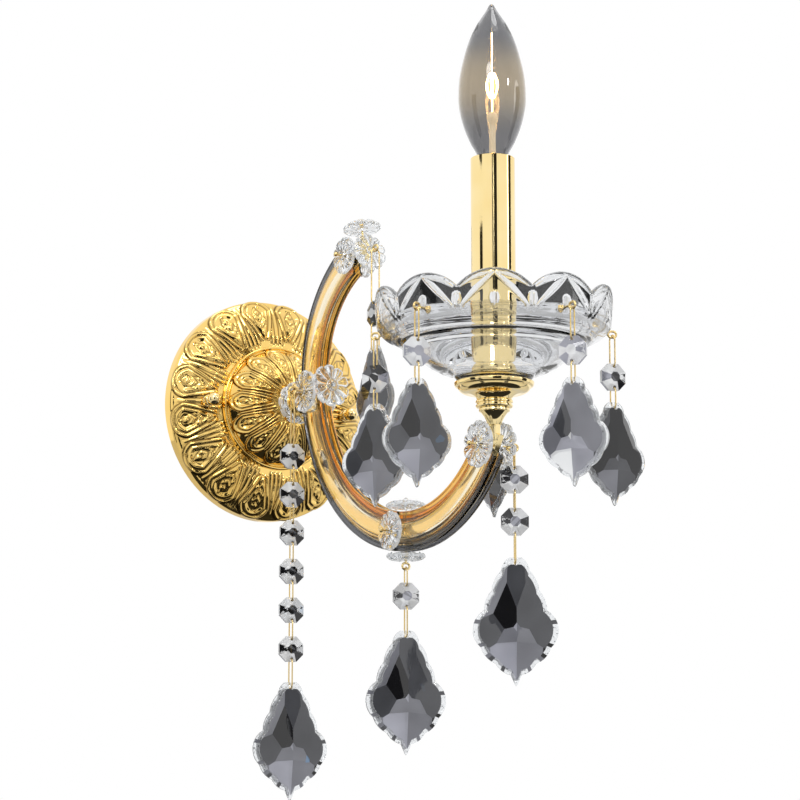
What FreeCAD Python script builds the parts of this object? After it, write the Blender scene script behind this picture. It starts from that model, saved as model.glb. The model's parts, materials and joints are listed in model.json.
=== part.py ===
import FreeCAD, Part
import math
import os
import Sketcher
from FreeCAD import Placement, Rotation, Vector

# A one-light crystal wall sconce, in millimetres.
# The origin is the middle of the wall face, +Z is up, +X is right as seen from the room,
# and the sconce stands out of the wall toward -Y.  "Reach" is a distance out of the wall.

doc = FreeCAD.newDocument("WallSconce")
sheet = doc.addObject("Spreadsheet::Sheet", "Dim")

X_AXIS = Vector(1, 0, 0)
Y_AXIS = Vector(0, 1, 0)
Z_AXIS = Vector(0, 0, 1)
ORIGIN = Vector(0, 0, 0)


# ---------------------------------------------------------------- driving dimensions

class Size:
    """A number together with the sheet expression that it comes from."""

    def __init__(self, value, text):
        self.value = float(value)
        self.text = text

    def _with(self, other, sign, value):
        return Size(value, f"({self.text} {sign} {as_size(other).text})")

    def __add__(self, other):
        return self._with(other, "+", self.value + as_size(other).value)

    def __sub__(self, other):
        return self._with(other, "-", self.value - as_size(other).value)

    def __mul__(self, other):
        return self._with(other, "*", self.value * as_size(other).value)

    def __truediv__(self, other):
        return self._with(other, "/", self.value / as_size(other).value)

    def __neg__(self):
        return Size(-self.value, f"(-{self.text})")

    __radd__ = __add__
    __rmul__ = __mul__

    def __rsub__(self, other):
        return as_size(other) - self

    def __float__(self):
        return self.value


def as_size(number):
    if isinstance(number, Size):
        return number
    return Size(number, repr(float(number)))


sheet_rows = []


def size(name, value, note):
    """Put one driving dimension in the sheet and return it."""
    sheet_rows.append(name)
    row = len(sheet_rows)
    sheet.set(f"A{row}", name)
    sheet.set(f"B{row}", str(value))
    sheet.set(f"C{row}", note)
    sheet.setAlias(f"B{row}", name)
    return Size(value, f"Dim.{name}")


# wall bar and back plate
wall_screw_pitch = size("wall_screw_pitch", 70.0, "distance between the two wall screw holes")
wall_screw_hole = size("wall_screw_hole", 4.6, "diameter of a wall screw hole")
bar_length = size("bar_length", 108.0, "length of the wall bar")
bar_width = size("bar_width", 20.0, "height of the wall bar")
bar_thick = size("bar_thick", 2.5, "thickness of the wall bar")
knob_pitch = size("knob_pitch", 92.0, "distance between the two ball nuts")
stud_dia = size("stud_dia", 4.0, "diameter of a plate stud")
stud_grip = size("stud_grip", 5.0, "length of stud inside a ball nut")
knob_ball_dia = size("knob_ball_dia", 7.6, "diameter of the ball on a ball nut")
knob_neck_dia = size("knob_neck_dia", 6.6, "diameter of a ball nut's neck")
knob_neck_length = size("knob_neck_length", 6.0, "length of a ball nut's neck")
knob_sink = size("knob_sink", 0.15, "depth of a ball nut's seat below the plate's flat middle")
plate_dia = size("plate_dia", 130.0, "diameter of the outer back plate")
plate_rim = size("plate_rim", 5.0, "height of the plate's rim from the wall")
plate_depth = size("plate_depth", 16.0, "reach of the plate's flat middle")
plate_metal = size("plate_metal", 2.0, "metal thickness of both plates")
dome_dia = size("dome_dia", 72.0, "diameter of the inner dome plate")
dome_rim = size("dome_rim", 2.6, "height of the dome's rim ring")
dome_rise = size("dome_rise", 20.0, "height of the dome above the plate's middle")
dome_flat_dia = size("dome_flat_dia", 18.0, "diameter of the dome's flat top")
plate_petals = size("plate_petals", 16, "cast petals of the outer plate")
plate_petal_rise = size("plate_petal_rise", 0.8, "height of the outer plate's petals")
plate_petal_start = size("plate_petal_start", 40.0, "radius where the outer petals begin")
plate_petal_root = size("plate_petal_root", 5.2, "width of an outer petal where it begins")
plate_petal_wide = size("plate_petal_wide", 55.5, "radius where the outer petals are widest")
plate_petal_width = size("plate_petal_width", 17.8, "largest width of an outer petal")
plate_petal_tip = size("plate_petal_tip", 62.4, "radius of the outer petals' round tips")
dome_petals = size("dome_petals", 14, "cast petals of the dome")
dome_petal_rise = size("dome_petal_rise", 1.0, "height of the dome's petals along its axis")
dome_petal_start = size("dome_petal_start", 14.0, "radius where the dome's petals begin")
dome_petal_root = size("dome_petal_root", 3.0, "width of a dome petal where it begins")
dome_petal_wide = size("dome_petal_wide", 27.2, "radius where the dome's petals are widest")
dome_petal_width = size("dome_petal_width", 9.0, "largest width of a dome petal")
dome_petal_tip = size("dome_petal_tip", 31.8, "radius of the dome petals' round tips")
petal_sink = size("petal_sink", 1.0, "depth of a petal inside the metal under it")
nipple_dia = size("nipple_dia", 9.6, "outer diameter of the threaded tubes")
nipple_bore = size("nipple_bore", 6.6, "bore of the threaded tubes")
nut_flats = size("nut_flats", 14.0, "width across flats of the tube nuts")
nut_thick = size("nut_thick", 3.6, "thickness of the tube nuts")
boss_dia = size("boss_dia", 14.0, "diameter of the boss that holds the arm")
boss_length = size("boss_length", 10.0, "length of the boss")
thread_fit = size("thread_fit", 0.05, "radial clearance of a part on a threaded tube")
hole_fit = size("hole_fit", 0.2, "radial clearance of a fixed rod in a hole")

# arm: a flat strip bent in the plane x = 0 through three tangent arcs
arm_reach = size("arm_reach", 58.0, "reach of the strip's middle line beside the plate")
arm_turn_height = size("arm_turn_height", 14.0, "height where the upper arc meets the lower arc")
scroll_top_radius = size("scroll_top_radius", 63.0, "radius of the upper arc")
scroll_low_radius = size("scroll_low_radius", 99.0, "radius of the lower arc")
scroll_rise_radius = size("scroll_rise_radius", 80.0, "radius of the arc that rises to the cup")
scroll_top_turn = size("scroll_top_turn", 80.0, "angle of the upper arc")
candle_reach = size("candle_reach", 228.0, "reach of the candle's axis")
strip_width = size("strip_width", 13.0, "width of the metal strip in the plane of the arm")
strip_thick = size("strip_thick", 3.0, "thickness of the metal strip")
cover_width = size("cover_width", 21.0, "width of a glass cover")
cover_edge = size("cover_edge", 1.5, "thickness of a glass cover at its edges")
cover_crown = size("cover_crown", 3.6, "thickness of a glass cover at its rib")
cover_rib_width = size("cover_rib_width", 10.0, "width of the rib of a glass cover")
cover_gap = size("cover_gap", 2.4, "gap between two covers at a pin")
cover_fit = size("cover_fit", 0.05, "clearance between a cover and the strip")
tongue_root = size("tongue_root", 4.0, "length of the tongue inside the strip's end")
tongue_sink = size("tongue_sink", 2.0, "depth of the tongue's end below the cone's top")

# rosettes and their pins
rosette_dia = size("rosette_dia", 24.0, "diameter of a large glass rosette")
rosette_small_dia = size("rosette_small_dia", 21.0, "diameter of a small glass rosette")
rosette_thick = size("rosette_thick", 4.6, "thickness of a glass rosette at its middle")
rosette_edge = size("rosette_edge", 1.6, "thickness of a glass rosette at its edge")
rosette_dish = size("rosette_dish", 1.6, "hollow of a rosette's back")
rosette_bore = size("rosette_bore", 2.0, "hole in a rosette")
petal_count = size("petal_count", 10, "petals of a rosette")
pin_wire = size("pin_wire", 1.1, "wire diameter of the pins")
eye_wire = size("eye_wire", 1.2, "wire diameter of the eyes on the pins")
pin_head = size("pin_head", 2.6, "diameter of a pin's ball head")
pin_overhang = size("pin_overhang", 3.0, "length of pin past a rosette")
edge_pin_overhang = size("edge_pin_overhang", 1.2, "length of an edge pin past its rosette")
eye_radius = size("eye_radius", 1.6, "radius of an eye's bent ends")
eye_straight = size("eye_straight", 1.2, "straight length of an eye")
top_pin_angle = size("top_pin_angle", 70.0, "angle from the turn to the top pin")
end_pin_back = size("end_pin_back", 5.5, "angle from the arm's end back to the end pin")
middle_pin_drop = size("middle_pin_drop", 11.0, "distance of the middle pin below the turn")
bottom_pin_back = size("bottom_pin_back", 12.0, "distance of the bottom pin behind the lowest point")

# cup, bowl and candle
cup_seat = size("cup_seat", -19.6, "height of the cup's seat for the bowl")
cup_dia = size("cup_dia", 40.0, "diameter of the cup's rim")
cup_rim_rise = size("cup_rim_rise", 2.6, "height of the cup's rim above its seat")
cup_ring_dia = size("cup_ring_dia", 18.6, "diameter of the ring under the cup")
cup_ring_drop = size("cup_ring_drop", 6.4, "depth of the ring's top below the cup's seat")
cup_ring_height = size("cup_ring_height", 4.4, "height of the ring under the cup")
cone_dia = size("cone_dia", 15.4, "diameter of the cone at its top")
cone_tip_dia = size("cone_tip_dia", 6.8, "diameter of the cone at its tip")
cone_height = size("cone_height", 8.4, "height of the cone")
bowl_dia = size("bowl_dia", 120.0, "diameter of the glass bowl at its scallops")
bowl_top = size("bowl_top", 28.0, "height of the scallops' tops")
bowl_scallop = size("bowl_scallop", 8.0, "depth of the valleys between scallops")
bowl_glass = size("bowl_glass", 3.0, "thickness of the bowl's wall")
bowl_floor = size("bowl_floor", 4.0, "thickness of the bowl's floor")
scallop_count = size("scallop_count", 10, "scallops of the bowl")
sleeve_dia = size("sleeve_dia", 22.6, "outer diameter of the candle sleeve")
sleeve_metal = size("sleeve_metal", 0.5, "metal thickness of the candle sleeve")
sleeve_length = size("sleeve_length", 114.4, "length of the candle sleeve")
sleeve_gap = size("sleeve_gap", 0.25, "radial clearance inside the candle sleeve")
washer_thick = size("washer_thick", 1.5, "thickness of the washer on the bowl's floor")
socket_top = size("socket_top", 9.0, "depth of the socket's top below the sleeve's top")
socket_length = size("socket_length", 32.0, "length of the socket's insulator")
screw_dia = size("screw_dia", 11.9, "diameter of the lamp's candelabra screw")
screw_length = size("screw_length", 16.0, "length of the lamp's screw shell")
screw_fit = size("screw_fit", 0.3, "radial clearance of the screw in its socket")
bulb_dia = size("bulb_dia", 34.8, "largest diameter of the lamp")
bulb_rise = size("bulb_rise", 83.0, "height of the lamp above the sleeve")
bulb_widest = size("bulb_widest", 32.0, "height of the lamp's widest part above the sleeve")
bulb_neck_dia = size("bulb_neck_dia", 14.6, "diameter of the lamp where it leaves the sleeve")
bulb_glass_thick = size("bulb_glass_thick", 0.7, "thickness of the lamp's glass")

# hanging drops
bead_flats = size("bead_flats", 14.0, "width across flats of an octagon bead")
bead_thick = size("bead_thick", 5.6, "thickness of a bead at its table")
bead_edge = size("bead_edge", 1.8, "thickness of a bead at its edge")
bead_table = size("bead_table", 5.0, "width across flats of a bead's table")
bead_hole_inset = size("bead_hole_inset", 1.6, "distance of a bead's hole from its flat")
bead_hole = size("bead_hole", 1.8, "diameter of a bead's hole")
ring_wire = size("ring_wire", 0.8, "wire diameter of the hooks and links")
ring_radius = size("ring_radius", 2.5, "radius of a link's bent ends")
small_hook = size("small_hook", 16.6, "length of the hook of a bowl drop")
top_hook = size("top_hook", 31.0, "length of the hook of the drop at the top of the arm")
middle_hook = size("middle_hook", 10.0, "length of the hook under the arm")
right_hook = size("right_hook", 10.6, "length of the hook at the arm's end")
wall_hook = size("wall_hook", 32.0, "length of the hook of the chain by the wall")
small_drop_length = size("small_drop_length", 53.0, "length of a small pendalogue")
large_drop_length = size("large_drop_length", 64.0, "length of a large pendalogue")
drop_hole = size("drop_hole", 2.2, "diameter of a pendalogue's hole")
drop_hole_depth = size("drop_hole_depth", 3.0, "distance of a pendalogue's hole below its top")
hang_gap = size("hang_gap", 0.15, "clearance between an eye and the hook in it")
rim_pin_height = size("rim_pin_height", 11.0, "height of the pins through the bowl")
rim_pin_overhang = size("rim_pin_overhang", 2.4, "distance of an eye outside the bowl")
bead_pitch = size("bead_pitch", 21.4, "distance between the beads of the wall chain")
short_bow = size("short_bow", 11.2, "length of a bowl drop's bow pin")
long_bow = size("long_bow", 16.2, "length of a long drop's bow pin")

# derived places, used by more than one piece
plate_radius = plate_dia / 2
dome_top = plate_depth + dome_rise
boss_end = dome_top + boss_length
strip_half = strip_thick / 2
top_centre_reach = arm_reach + scroll_top_radius
low_centre_reach = arm_reach + scroll_low_radius
bottom_height = arm_turn_height - scroll_low_radius
rise_centre_height = bottom_height + scroll_rise_radius
bowl_radius = bowl_dia / 2
bowl_bottom = cup_seat + 0.1
sleeve_bottom = bowl_bottom + bowl_floor
sleeve_top = sleeve_bottom + sleeve_length
sleeve_bore = sleeve_dia / 2 - sleeve_metal
cone_top = cup_seat - cup_ring_drop - cup_ring_height
cover_face = strip_half + cover_fit
rosette_back = cover_face + cover_crown + 0.1
rosette_front = rosette_back + rosette_thick


# ---------------------------------------------------------------- small geometry helpers

def point(reach, height, across=0.0):
    """A place given by its distance out of the wall, its height and its x."""
    return Vector(float(across), -float(reach), float(height))


def arc_place(centre_reach, centre_height, radius, angle):
    """A place on an arc of the arm; the angle in degrees starts out of the wall and turns up."""
    turn = math.radians(float(angle))
    return (float(centre_reach) + float(radius) * math.cos(turn),
            float(centre_height) + float(radius) * math.sin(turn))


def bind(thing, prop, value):
    thing.setExpression(prop, as_size(value).text)


def plane_of(body, role):
    for feature in body.Origin.OriginFeatures:
        if feature.Role == role:
            return feature
    raise RuntimeError(f"{body.Name} has no {role}")


def new_body(label):
    body = doc.addObject("PartDesign::Body", "Body_" + label)
    body.Label = label
    return body


def new_sketch(body, role, name):
    sketch = body.newObject("Sketcher::SketchObject", name)
    sketch.AttachmentSupport = [(plane_of(body, role), "")]
    sketch.MapMode = "FlatFace"
    return sketch


def pin_vertex(sketch, geometry, end, first, second):
    """Tie one vertex of a sketch to two sizes, along the sketch's two axes."""
    for kind, value in (("DistanceX", first), ("DistanceY", second)):
        number = as_size(value)
        index = sketch.addConstraint(
            Sketcher.Constraint(kind, -1, 1, geometry, end, number.value))
        sketch.setExpression(f"Constraints[{index}]", number.text)


def draw_outline(sketch, corners):
    """A closed outline; a corner is (first, second), or (first, second, via_first, via_second)
    where the stretch that ends there is an arc through the via place."""
    count = len(corners)
    flat = [Vector(float(c[0]), float(c[1]), 0) for c in corners]
    arc_ends = {}
    for index in range(count):
        start = flat[index]
        finish = flat[(index + 1) % count]
        corner = corners[(index + 1) % count]
        arc_ends[index] = (1, 2)
        if len(corner) == 2:
            sketch.addGeometry(Part.LineSegment(start, finish), False)
            continue
        via = Vector(float(corner[2]), float(corner[3]), 0)
        if (via - start).cross(finish - via).z > 0:
            sketch.addGeometry(Part.Arc(start, via, finish), False)
        else:
            sketch.addGeometry(Part.Arc(finish, via, start), False)
            arc_ends[index] = (2, 1)
    for index in range(count):
        after = (index + 1) % count
        sketch.addConstraint(Sketcher.Constraint(
            "Coincident", index, arc_ends[index][1], after, arc_ends[after][0]))
        pin_vertex(sketch, index, arc_ends[index][0], corners[index][0], corners[index][1])
    for index in range(count):
        corner = corners[(index + 1) % count]
        if len(corner) == 4:
            via = Vector(float(corner[2]), float(corner[3]), 0)
            mark = sketch.addGeometry(Part.Point(via), True)
            pin_vertex(sketch, mark, 1, corner[2], corner[3])
            sketch.addConstraint(Sketcher.Constraint("PointOnObject", mark, 1, index))


def turned_body(label, corners, axis="Z"):
    """A solid of revolution from (radius, place along the axis) corners.
    The axis is Z through the candle, or Y (out of the wall) through the origin."""
    body = new_body(label)
    if axis == "Z":
        sketch = new_sketch(body, "XZ_Plane", label + "_profile")
        draw_outline(sketch, corners)
        bind(body, "Placement.Base.y", -candle_reach)
    else:
        sketch = new_sketch(body, "XY_Plane", label + "_profile")
        draw_outline(sketch, [mirrored_corner(c) for c in corners])
    doc.recompute()
    turned = body.newObject("PartDesign::Revolution", label + "_turned")
    turned.Profile = sketch
    turned.ReferenceAxis = (sketch, ["V_Axis"])
    turned.Angle = 360.0
    sketch.Visibility = False
    return body


def mirrored_corner(corner):
    """Turn (radius, reach) into sketch places, where reach runs toward -Y."""
    if len(corner) == 2:
        return (corner[0], -as_size(corner[1]))
    return (corner[0], -as_size(corner[1]), corner[2], -as_size(corner[3]))


def drilled(body, role, name, circles, offset=0.0):
    """Pocket round holes through a body both ways; circles are (first, second, diameter)."""
    sketch = new_sketch(body, role, name)
    if offset:
        sketch.AttachmentOffset = Placement(Vector(0, 0, float(offset)), Rotation())
        bind(sketch, "AttachmentOffset.Base.z", offset)
    for index, (first, second, diameter) in enumerate(circles):
        radius = as_size(diameter) / 2
        sketch.addGeometry(Part.Circle(
            Vector(float(first), float(second), 0), Vector(0, 0, 1), float(radius)), False)
        pin_vertex(sketch, index, 3, first, second)
        constraint = sketch.addConstraint(Sketcher.Constraint("Radius", index, float(radius)))
        sketch.setExpression(f"Constraints[{constraint}]", radius.text)
    doc.recompute()
    before = body.Shape.Volume
    pocket = body.newObject("PartDesign::Pocket", name + "_cut")
    pocket.Profile = sketch
    pocket.Type = "ThroughAll"
    pocket.Midplane = True
    doc.recompute()
    if body.Shape.Volume >= before:
        raise RuntimeError(f"{name} cut nothing")
    return pocket


def shape_feature(label, shape):
    feature = doc.addObject("Part::Feature", "Solid_" + label)
    feature.Label = label
    feature.Shape = shape
    return feature


# ---------------------------------------------------------------- wall bar, plates and boss

def make_wall_bar():
    """A steel bar screwed to the wall, with holes for the screws, the studs and the tube."""
    body = new_body("wall_bar")
    sketch = new_sketch(body, "XZ_Plane", "wall_bar_outline")
    half_length = bar_length / 2
    half_width = bar_width / 2
    draw_outline(sketch, [(-half_length, -half_width), (half_length, -half_width),
                          (half_length, half_width), (-half_length, half_width)])
    doc.recompute()
    pad = body.newObject("PartDesign::Pad", "wall_bar_pad")
    pad.Profile = sketch
    bind(pad, "Length", bar_thick)
    doc.recompute()
    if body.Shape.BoundBox.YMax > 0.01:
        pad.Reversed = True
        doc.recompute()
    half_screws = wall_screw_pitch / 2
    half_knobs = knob_pitch / 2
    stud_hole = stud_dia + hole_fit * 2
    drilled(body, "XZ_Plane", "wall_bar_holes", [
        (-half_screws, 0, wall_screw_hole),
        (half_screws, 0, wall_screw_hole),
        (-half_knobs, 0, stud_hole),
        (half_knobs, 0, stud_hole),
        (0, 0, nipple_dia + thread_fit * 2)])
    return body


def knob_seat():
    """Reach at which a ball nut sits on the sloping plate."""
    return plate_depth - knob_sink


def make_studs():
    studs = []
    for side in (-1, 1):
        stud = doc.addObject("Part::Cylinder", f"Stud_{'left' if side < 0 else 'right'}")
        bind(stud, "Radius", stud_dia / 2)
        bind(stud, "Height", knob_seat() + stud_grip)
        stud.Placement = Placement(Vector(side * float(knob_pitch) / 2, 0, 0),
                                   Rotation(X_AXIS, 90))
        bind(stud, "Placement.Base.x", knob_pitch * (side / 2))
        studs.append(stud)
    group = doc.addObject("Part::Compound", "plate_studs")
    group.Label = "plate_studs"
    group.Links = studs
    return group


def make_ball_nut(label, side):
    """A turned nut with a ball on its end, seated on the outer plate."""
    bore = stud_dia / 2 + thread_fit
    neck = knob_neck_dia / 2
    ball = knob_ball_dia / 2
    seat = knob_seat()
    bore_end = seat + stud_grip + 0.3
    neck_end = seat + knob_neck_length
    centre = float(neck_end) + math.sqrt(float(ball) ** 2 - (float(neck) * 0.8) ** 2)
    body = turned_body(label, [
        (bore, seat), (neck, seat), (neck, neck_end), (neck * 0.8, neck_end),
        (0, centre + float(ball), float(ball), centre), (0, bore_end), (bore, bore_end)],
        axis="Y")
    bind(body, "Placement.Base.x", knob_pitch * (side / 2))
    return body


def petal_prism(start, root, wide, width, tip, turn):
    """A petal's outline drawn far out of the wall: root and width are its widths at the
    radii start and wide, and turn is its angle round the plate from straight up."""
    left = [Vector(-float(root) / 2, 0, float(start)), Vector(-float(width) / 2, 0, float(wide))]
    right = [Vector(-place.x, 0, place.z) for place in left]
    outline = [
        Part.LineSegment(left[0], left[1]).toShape(),
        Part.Arc(left[1], Vector(0, 0, float(tip)), right[1]).toShape(),
        Part.LineSegment(right[1], right[0]).toShape(),
        Part.LineSegment(right[0], left[0]).toShape()]
    prism = Part.Face(Part.Wire(outline)).extrude(-Y_AXIS * float(boss_end))
    prism.rotate(ORIGIN, Y_AXIS, turn)
    return prism


def petal_band(front, rise):
    """A band turned round the plate's axis: its face lies the rise above an arc through
    three (radius, reach) places of the plate's front, and its back inside the metal."""
    face = [point(reach + rise, 0, radius) for radius, reach in front]
    back = [point(reach - petal_sink, 0, radius) for radius, reach in front]
    outline = [
        Part.Arc(face[0], face[1], face[2]).toShape(),
        Part.LineSegment(face[2], back[2]).toShape(),
        Part.Arc(back[2], back[1], back[0]).toShape(),
        Part.LineSegment(back[0], face[0]).toShape()]
    return Part.Face(Part.Wire(outline)).revolve(ORIGIN, Y_AXIS, 360)


def with_petals(label, blank, band, count, outline):
    """A turned plate with a ring of equal petals, two of them beside each horizontal end."""
    petals = []
    for index in range(int(float(count))):
        turn = 360.0 * (index + 0.5) / float(count)
        petals.append(band.common(petal_prism(*outline, turn)))
    plate = blank.Shape.fuse(petals).removeSplitter()
    return shape_feature(label, plate.Solids[0])


def make_backplate_outer():
    """The cast outer tier: a rim, a convex ring with petals and a flat middle under the dome."""
    metal = plate_metal
    radius = plate_radius
    shoulder = dome_dia / 2 + 2.0
    front = [(radius - 2.0, plate_rim + 2.6), ((radius + shoulder) / 2, plate_depth - 2.2),
             (shoulder, plate_depth)]
    corners = [
        (radius, 0),
        (radius, plate_rim),
        front[0],
        front[2] + front[1],
        (nipple_dia / 2 + thread_fit, plate_depth),
        (nipple_dia / 2 + thread_fit, plate_depth - metal),
        (shoulder - 0.6, plate_depth - metal),
        (radius - 4.0, plate_rim + 0.8, (radius + shoulder) / 2 - 1.0, plate_depth - metal - 2.6),
        (radius - metal, plate_rim - 1.2),
        (radius - metal, 0)]
    body = turned_body("backplate_outer_blank", corners, axis="Y")
    doc.recompute()
    stud_hole = stud_dia + hole_fit * 2
    drilled(body, "XZ_Plane", "backplate_outer_holes",
            [(knob_pitch / -2, 0, stud_hole), (knob_pitch / 2, 0, stud_hole)])
    outline = (plate_petal_start, plate_petal_root, plate_petal_wide, plate_petal_width,
               plate_petal_tip)
    return with_petals("backplate_outer", body, petal_band(front, plate_petal_rise),
                       plate_petals, outline)


def make_backplate_dome():
    """The cast inner dome: a rim ring and a petalled dome with a flat top for the boss."""
    metal = plate_metal
    radius = dome_dia / 2
    flat = dome_flat_dia / 2
    inside_top = dome_top - metal
    front = [(radius - 2.4, plate_depth + dome_rim),
             ((radius + flat) / 2 + 3.0, plate_depth + dome_rise * 0.68), (flat, dome_top)]
    corners = [
        (radius, plate_depth),
        (radius, plate_depth + dome_rim),
        front[0],
        front[2] + front[1],
        (nipple_dia / 2 + thread_fit, dome_top),
        (nipple_dia / 2 + thread_fit, inside_top),
        (flat - 0.4, inside_top),
        (radius - 4.6, plate_depth, (radius + flat) / 2 + 1.0, plate_depth + dome_rise * 0.62)]
    body = turned_body("backplate_dome_blank", corners, axis="Y")
    doc.recompute()
    outline = (dome_petal_start, dome_petal_root, dome_petal_wide, dome_petal_width,
               dome_petal_tip)
    return with_petals("backplate_dome", body, petal_band(front, dome_petal_rise),
                       dome_petals, outline)


def hexagon_ring(across_flats, bore, thick):
    """A hexagon nut on the Z axis, from z = 0 up."""
    radius = float(across_flats) / math.sqrt(3)
    corners = [Vector(radius * math.cos(math.radians(60 * k)),
                      radius * math.sin(math.radians(60 * k)), 0) for k in range(7)]
    block = Part.Face(Part.makePolygon(corners)).extrude(Vector(0, 0, float(thick)))
    return block.cut(Part.makeCylinder(float(bore) / 2, float(thick)))


def make_centre_nipple():
    bore_end = dome_top + boss_length * 0.5
    return turned_body("centre_nipple", [
        (nipple_bore / 2, 0.4), (nipple_dia / 2, 0.4),
        (nipple_dia / 2, bore_end), (nipple_bore / 2, bore_end)], axis="Y")


def make_tube_nuts():
    """Three equal nuts: on the wall bar, behind the dome and on the bowl's washer."""
    nut = hexagon_ring(nut_flats, nipple_dia + thread_fit * 2, nut_thick)
    out_of_wall = Rotation(X_AXIS, 90)
    nuts = []
    for reach in (bar_thick, dome_top - plate_metal - nut_thick):
        copy = nut.copy()
        copy.Placement = Placement(point(reach, 0), out_of_wall)
        nuts.append(copy)
    upper = nut.copy()
    upper.Placement = Placement(point(candle_reach, sleeve_bottom + washer_thick), Rotation())
    nuts.append(upper)
    return shape_feature("tube_nuts", Part.makeCompound(nuts))


def make_arm_boss():
    """A turned boss on the dome, with a slot for the strip's tab."""
    radius = boss_dia / 2
    bore = nipple_dia / 2 + thread_fit
    bore_end = dome_top + boss_length * 0.5 + 0.2
    body = turned_body("arm_boss", [
        (bore, dome_top),
        (radius, dome_top),
        (radius, dome_top + boss_length * 0.3),
        (radius, boss_end - 1.2, radius - 1.6, dome_top + boss_length * 0.6),
        (radius - 0.8, boss_end),
        (0, boss_end),
        (0, bore_end),
        (bore, bore_end)], axis="Y")
    doc.recompute()
    slot = new_sketch(body, "XZ_Plane", "arm_boss_slot")
    half_slot = strip_half + cover_fit
    half_tab = tab_width() / 2 + cover_fit
    draw_outline(slot, [(-half_slot, -half_tab), (half_slot, -half_tab),
                        (half_slot, half_tab), (-half_slot, half_tab)])
    slot.AttachmentOffset = Placement(Vector(0, 0, float(boss_end)), Rotation())
    bind(slot, "AttachmentOffset.Base.z", boss_end)
    doc.recompute()
    before = body.Shape.Volume
    pocket = body.newObject("PartDesign::Pocket", "arm_boss_slot_cut")
    pocket.Profile = slot
    bind(pocket, "Length", tab_depth() + cover_fit)
    doc.recompute()
    if body.Shape.Volume >= before:
        pocket.Reversed = True
        doc.recompute()
    return body


def tab_width():
    """Height of the strip's tab, which the boss holds."""
    return boss_dia * 0.5


def tab_depth():
    """Depth of the strip's tab in the boss."""
    return boss_length * 0.36


# ---------------------------------------------------------------- arm strip and glass covers

def rise_turn():
    """Angle in degrees of the rising arc, from the arm's lowest point to the candle."""
    lean = (float(candle_reach) - float(low_centre_reach)) / float(scroll_rise_radius)
    return math.degrees(math.asin(lean))


def arm_pin_places():
    """Reach and height of the four cross pins, from the top of the scroll to its end."""
    top = arc_place(top_centre_reach, arm_turn_height, scroll_top_radius,
                    180.0 - float(top_pin_angle))
    drop = math.degrees(math.asin(float(middle_pin_drop) / float(scroll_low_radius)))
    middle = arc_place(low_centre_reach, arm_turn_height, scroll_low_radius, 180.0 + drop)
    back = math.degrees(math.asin(float(bottom_pin_back) / float(scroll_low_radius)))
    bottom = arc_place(low_centre_reach, arm_turn_height, scroll_low_radius, 270.0 - back)
    end = arc_place(low_centre_reach, rise_centre_height, scroll_rise_radius,
                    270.0 + rise_turn() - float(end_pin_back))
    return {"top": top, "middle": middle, "bottom": bottom, "end": end}


def section_sweep(section, centre_reach, centre_height, start, finish):
    """Turn a radial section about an arc's centre, between two angles in degrees.
    The section lies with its middle at radius zero offset, in the plane of the start angle."""
    return section.revolve(point(centre_reach, centre_height), -X_AXIS, finish - start)


def strip_section(radius, angle, centre_reach, centre_height):
    half = float(strip_width) / 2
    thick = float(strip_half)
    corners = []
    for across, offset in ((-thick, -half), (thick, -half), (thick, half), (-thick, half)):
        reach, height = arc_place(centre_reach, centre_height, float(radius) + offset, angle)
        corners.append(point(reach, height, across))
    return Part.Face(Part.makePolygon(corners + corners[:1]))


def cover_section(side, radius, angle, centre_reach, centre_height):
    """Section of a glass cover: flat on the strip, with a round rib along its middle."""
    half = float(cover_width) / 2
    rib = float(cover_rib_width) / 2
    base = float(cover_face)
    edge = base + float(cover_edge)
    crown = base + float(cover_crown)

    def place(offset, across):
        reach, height = arc_place(centre_reach, centre_height, float(radius) + offset, angle)
        return point(reach, height, side * across)

    dip = edge - 0.3 * float(cover_edge)
    shoulder = edge + 0.35 * (crown - edge)
    edges = [
        Part.LineSegment(place(-half, base), place(half, base)).toShape(),
        Part.LineSegment(place(half, base), place(half, edge)).toShape(),
        Part.Arc(place(half, edge), place((half + rib) / 2, dip), place(rib, shoulder)).toShape(),
        Part.Arc(place(rib, shoulder), place(0, crown), place(-rib, shoulder)).toShape(),
        Part.Arc(place(-rib, shoulder), place(-(half + rib) / 2, dip), place(-half, edge)).toShape(),
        Part.LineSegment(place(-half, edge), place(-half, base)).toShape()]
    return Part.Face(Part.Wire(edges))


def top_arc(section_at, start, finish):
    section = section_at(scroll_top_radius, start, top_centre_reach, arm_turn_height)
    return section_sweep(section, top_centre_reach, arm_turn_height, start, finish)


def low_arc(section_at, start, finish):
    section = section_at(scroll_low_radius, start, low_centre_reach, arm_turn_height)
    return section_sweep(section, low_centre_reach, arm_turn_height, start, finish)


def rise_arc(section_at, start, finish):
    section = section_at(scroll_rise_radius, start, low_centre_reach, rise_centre_height)
    return section_sweep(section, low_centre_reach, rise_centre_height, start, finish)


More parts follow.
